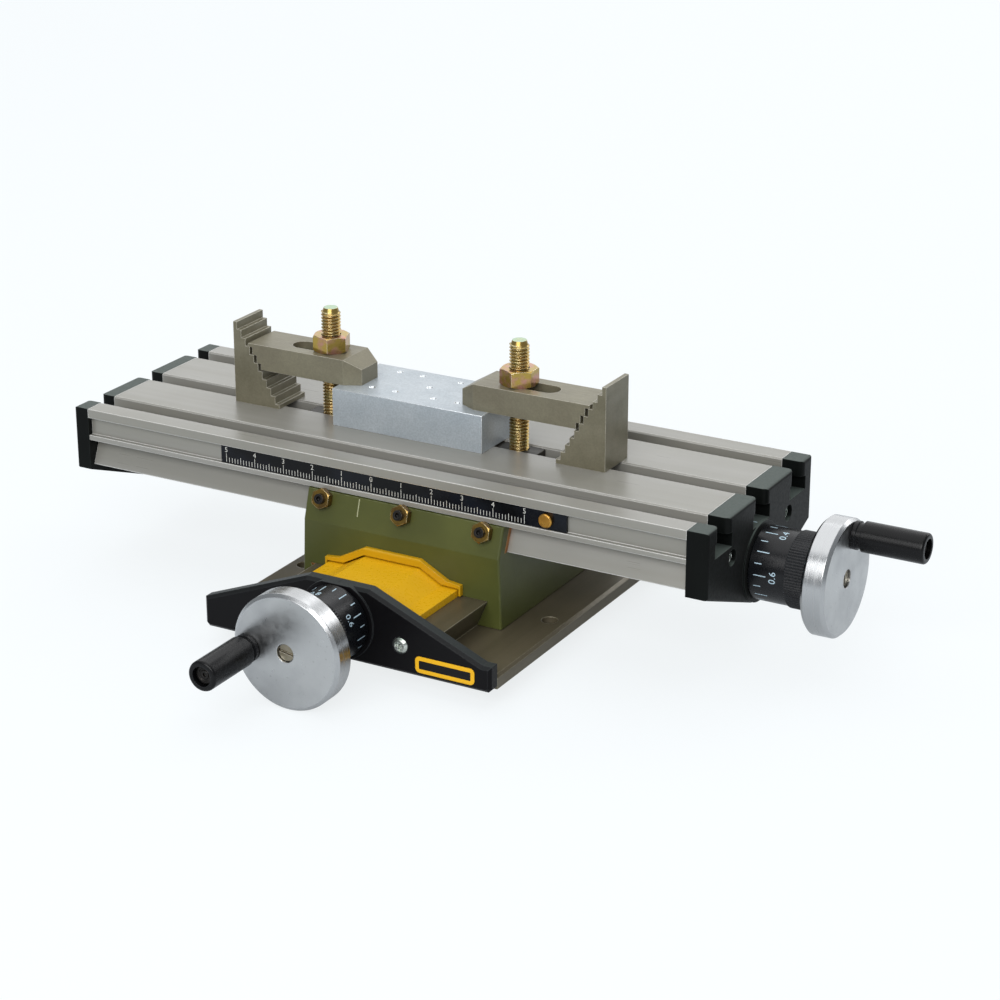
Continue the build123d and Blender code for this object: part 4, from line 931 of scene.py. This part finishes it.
def bare_label():
    """Rounded plate whose border is yellow and whose field is bare."""
    bpy.ops.object.select_all(action="DESELECT")
    bpy.ops.mesh.primitive_plane_add(size=1.0)
    piece = bpy.context.object
    piece.name = "bare_label"
    width = (LABEL_RIGHT - LABEL_LEFT) * MM
    height = (LABEL_TOP - LABEL_BOTTOM) * MM
    piece.data.transform(Matrix.Diagonal((width, height, 1.0, 1.0)))
    bpy.ops.object.mode_set(mode="EDIT")
    bpy.ops.mesh.select_all(action="SELECT")
    bpy.ops.mesh.bevel(offset=LABEL_CORNER * MM, segments=6, affect="VERTICES")
    bpy.ops.mesh.select_all(action="SELECT")
    bpy.ops.mesh.inset(thickness=LABEL_BORDER * MM)
    bpy.ops.object.mode_set(mode="OBJECT")
    field = max(piece.data.polygons, key=lambda face: face.area).index
    piece.data.materials.append(label_yellow)
    piece.data.materials.append(label_black)
    piece.data.polygons[field].material_index = 1
    thick = piece.modifiers.new("thickness", "SOLIDIFY")
    thick.thickness = LABEL_THICKNESS * MM
    thick.offset = -1.0
    select_only(piece)
    bpy.ops.object.modifier_apply(modifier="thickness")
    centre = ((LABEL_LEFT + LABEL_RIGHT) / 2, BRACKET_FRONT - LABEL_THICKNESS,
              (LABEL_BOTTOM + LABEL_TOP) / 2)
    into_place(piece, frame_at(centre, (1, 0, 0), UP))
    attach(piece, "base")


bare_label()

# Index lines: over the cross ring, in the right cap's middle slot, and on the saddle's brow
INDEX_WIDTH = 0.3
CROSS_INDEX_LENGTH = 2.6
CROSS_INDEX_INSET = 2.2
LONG_INDEX_LENGTH = 3.2
LONG_INDEX_INSET = 2.4
SADDLE_INDEX_WIDTH = 0.35
SADDLE_INDEX_LENGTH = 5.2
SADDLE_INDEX_MARGIN = 0.3
SADDLE_INDEX_SHIFT = -3.2
SADDLE_FRONT = -36.3
BROW_TOP = 34.1
BROW_RISE = 8.8
BROW_DEPTH = 2.7
brow_slope = Vector((0, BROW_DEPTH, BROW_RISE)).normalized()
brow_edge = Vector((TABLE_X + SADDLE_INDEX_SHIFT, SADDLE_FRONT + BROW_DEPTH, BROW_TOP))


def index_line(name, body, material, width, length, origin, right, top):
    """One index line lying on a face."""
    piece = box_piece(width, length, MARK_THICKNESS, frame_at(origin, right, top))
    piece.name = name
    paint(piece, material)
    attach(piece, body)


index_line("cross_index", "base", index_groove_shade, INDEX_WIDTH, CROSS_INDEX_LENGTH,
           (CROSS_AXIS.x, BRACKET_FRONT + CROSS_INDEX_INSET, BRACKET_CROWN),
           right=(1, 0, 0), top=(0, 1, 0))
index_line("long_index", "table", ring_fill, INDEX_WIDTH, LONG_INDEX_LENGTH,
           (LONG_AXIS.x - LONG_INDEX_INSET, TABLE_Y, TABLE_TOP - SLOT_DEPTH),
           right=(0, 1, 0), top=(-1, 0, 0))
index_line("saddle_index", "saddle", olive_fill, SADDLE_INDEX_WIDTH,
           SADDLE_INDEX_LENGTH,
           brow_edge - brow_slope * (SADDLE_INDEX_MARGIN + SADDLE_INDEX_LENGTH / 2),
           right=(1, 0, 0), top=brow_slope)

# Camera at the photograph's place, in metres and degrees
CAMERA_PLACE = (0.373620, -0.643891, 0.316024)
CAMERA_AZIMUTH = 29.2905
CAMERA_PITCH = 21.3635
LENS = 97.414
SENSOR = 36.0
camera_data = bpy.data.cameras.new("photograph view")
camera_data.lens = LENS
camera_data.sensor_width = SENSOR
camera = bpy.data.objects.new("photograph view", camera_data)
camera.location = CAMERA_PLACE
camera.rotation_euler = (radians(90 - CAMERA_PITCH), 0.0, radians(CAMERA_AZIMUTH))
bpy.context.collection.objects.link(camera)
bpy.context.scene.camera = camera

# Lamps: name, place in metres, width, height and power; each shines at the base
LAMPS = (
    ("overhead softbox", (-0.1, 0.1, 1.0), 1.4, 1.4, 7.2),
    ("back softbox", (-0.3, 1.15, 0.55), 2.2, 1.1, 7.2),
    ("back right softbox", (0.52, 1.15, 0.65), 0.55, 0.45, 2.0),
    ("front card", (0.2, -0.95, 0.62), 1.0, 0.6, 9.4),
)
FLOOR_HEIGHT = -5.3
FLOOR_SIZE = 6000.0
# Strength of the floor's glow as the camera sees it, and as it shows in glossy surfaces
FLOOR_GLOW = 0.855
FLOOR_REFLECTED = 0.2
WORLD_LIGHT = 0.44


def studio_floor():
    """Pale floor that takes soft shadows."""
    bpy.ops.object.select_all(action="DESELECT")
    bpy.ops.mesh.primitive_plane_add(size=FLOOR_SIZE * MM, location=(0, 0, FLOOR_HEIGHT * MM))
    floor = bpy.context.object
    floor.name = "floor"
    material = bpy.data.materials.new("matt studio floor")
    tree = cleared_tree(material)
    path = add_node(tree, "ShaderNodeLightPath")
    # the camera sees the floor glow as pale as the backdrop, and a glossy surface sees less of it
    sheet = add_node(tree, "ShaderNodeMix", {
        0: path.outputs["Is Camera Ray"], 6: linear("#B9BEC2"), 7: linear("#686C6F")},
        data_type="RGBA")
    reflected = add_node(tree, "ShaderNodeMath", {
        0: path.outputs["Is Glossy Ray"], 1: FLOOR_REFLECTED}, operation="MULTIPLY")
    strength = add_node(tree, "ShaderNodeMath", {
        0: path.outputs["Is Camera Ray"], 1: FLOOR_GLOW, 2: reflected}, operation="MULTIPLY_ADD")
    glow = add_node(tree, "ShaderNodeEmission", {
        "Color": linear("#F7FAFB"), "Strength": strength})
    matt = add_node(tree, "ShaderNodeBsdfDiffuse", {"Color": sheet.outputs[2]})
    both = add_node(tree, "ShaderNodeAddShader", {0: matt, 1: glow})
    add_node(tree, "ShaderNodeOutputMaterial", {"Surface": both})
    floor.data.materials.append(material)


def studio_world():
    """Even grey-blue light, which the camera sees as a pale blue-white backdrop."""
    world = bpy.data.worlds.new("pale studio")
    bpy.context.scene.world = world
    tree = cleared_tree(world)
    path = add_node(tree, "ShaderNodeLightPath")
    light = add_node(tree, "ShaderNodeBackground", {
        "Color": linear("#DDE3E8"), "Strength": WORLD_LIGHT})
    seen = add_node(tree, "ShaderNodeBackground", {"Color": linear("#F7FBFE"), "Strength": 1.0})
    mix = add_node(tree, "ShaderNodeMixShader", {
        0: path.outputs["Is Camera Ray"], 1: light, 2: seen})
    add_node(tree, "ShaderNodeOutputWorld", {"Surface": mix})


def studio_lamps():
    """Soft rectangular lamps round the object."""
    for name, place, width, height, power in LAMPS:
        data = bpy.data.lights.new(name, "AREA")
        data.energy = power
        data.shape = "RECTANGLE"
        data.size = width
        data.size_y = height
        lamp = bpy.data.objects.new(name, data)
        lamp.location = place
        lamp.rotation_euler = (-Vector(place)).to_track_quat("-Z", "Y").to_euler()
        bpy.context.collection.objects.link(lamp)


studio_floor()
studio_world()
studio_lamps()
bpy.context.scene.view_settings.view_transform = "Standard"
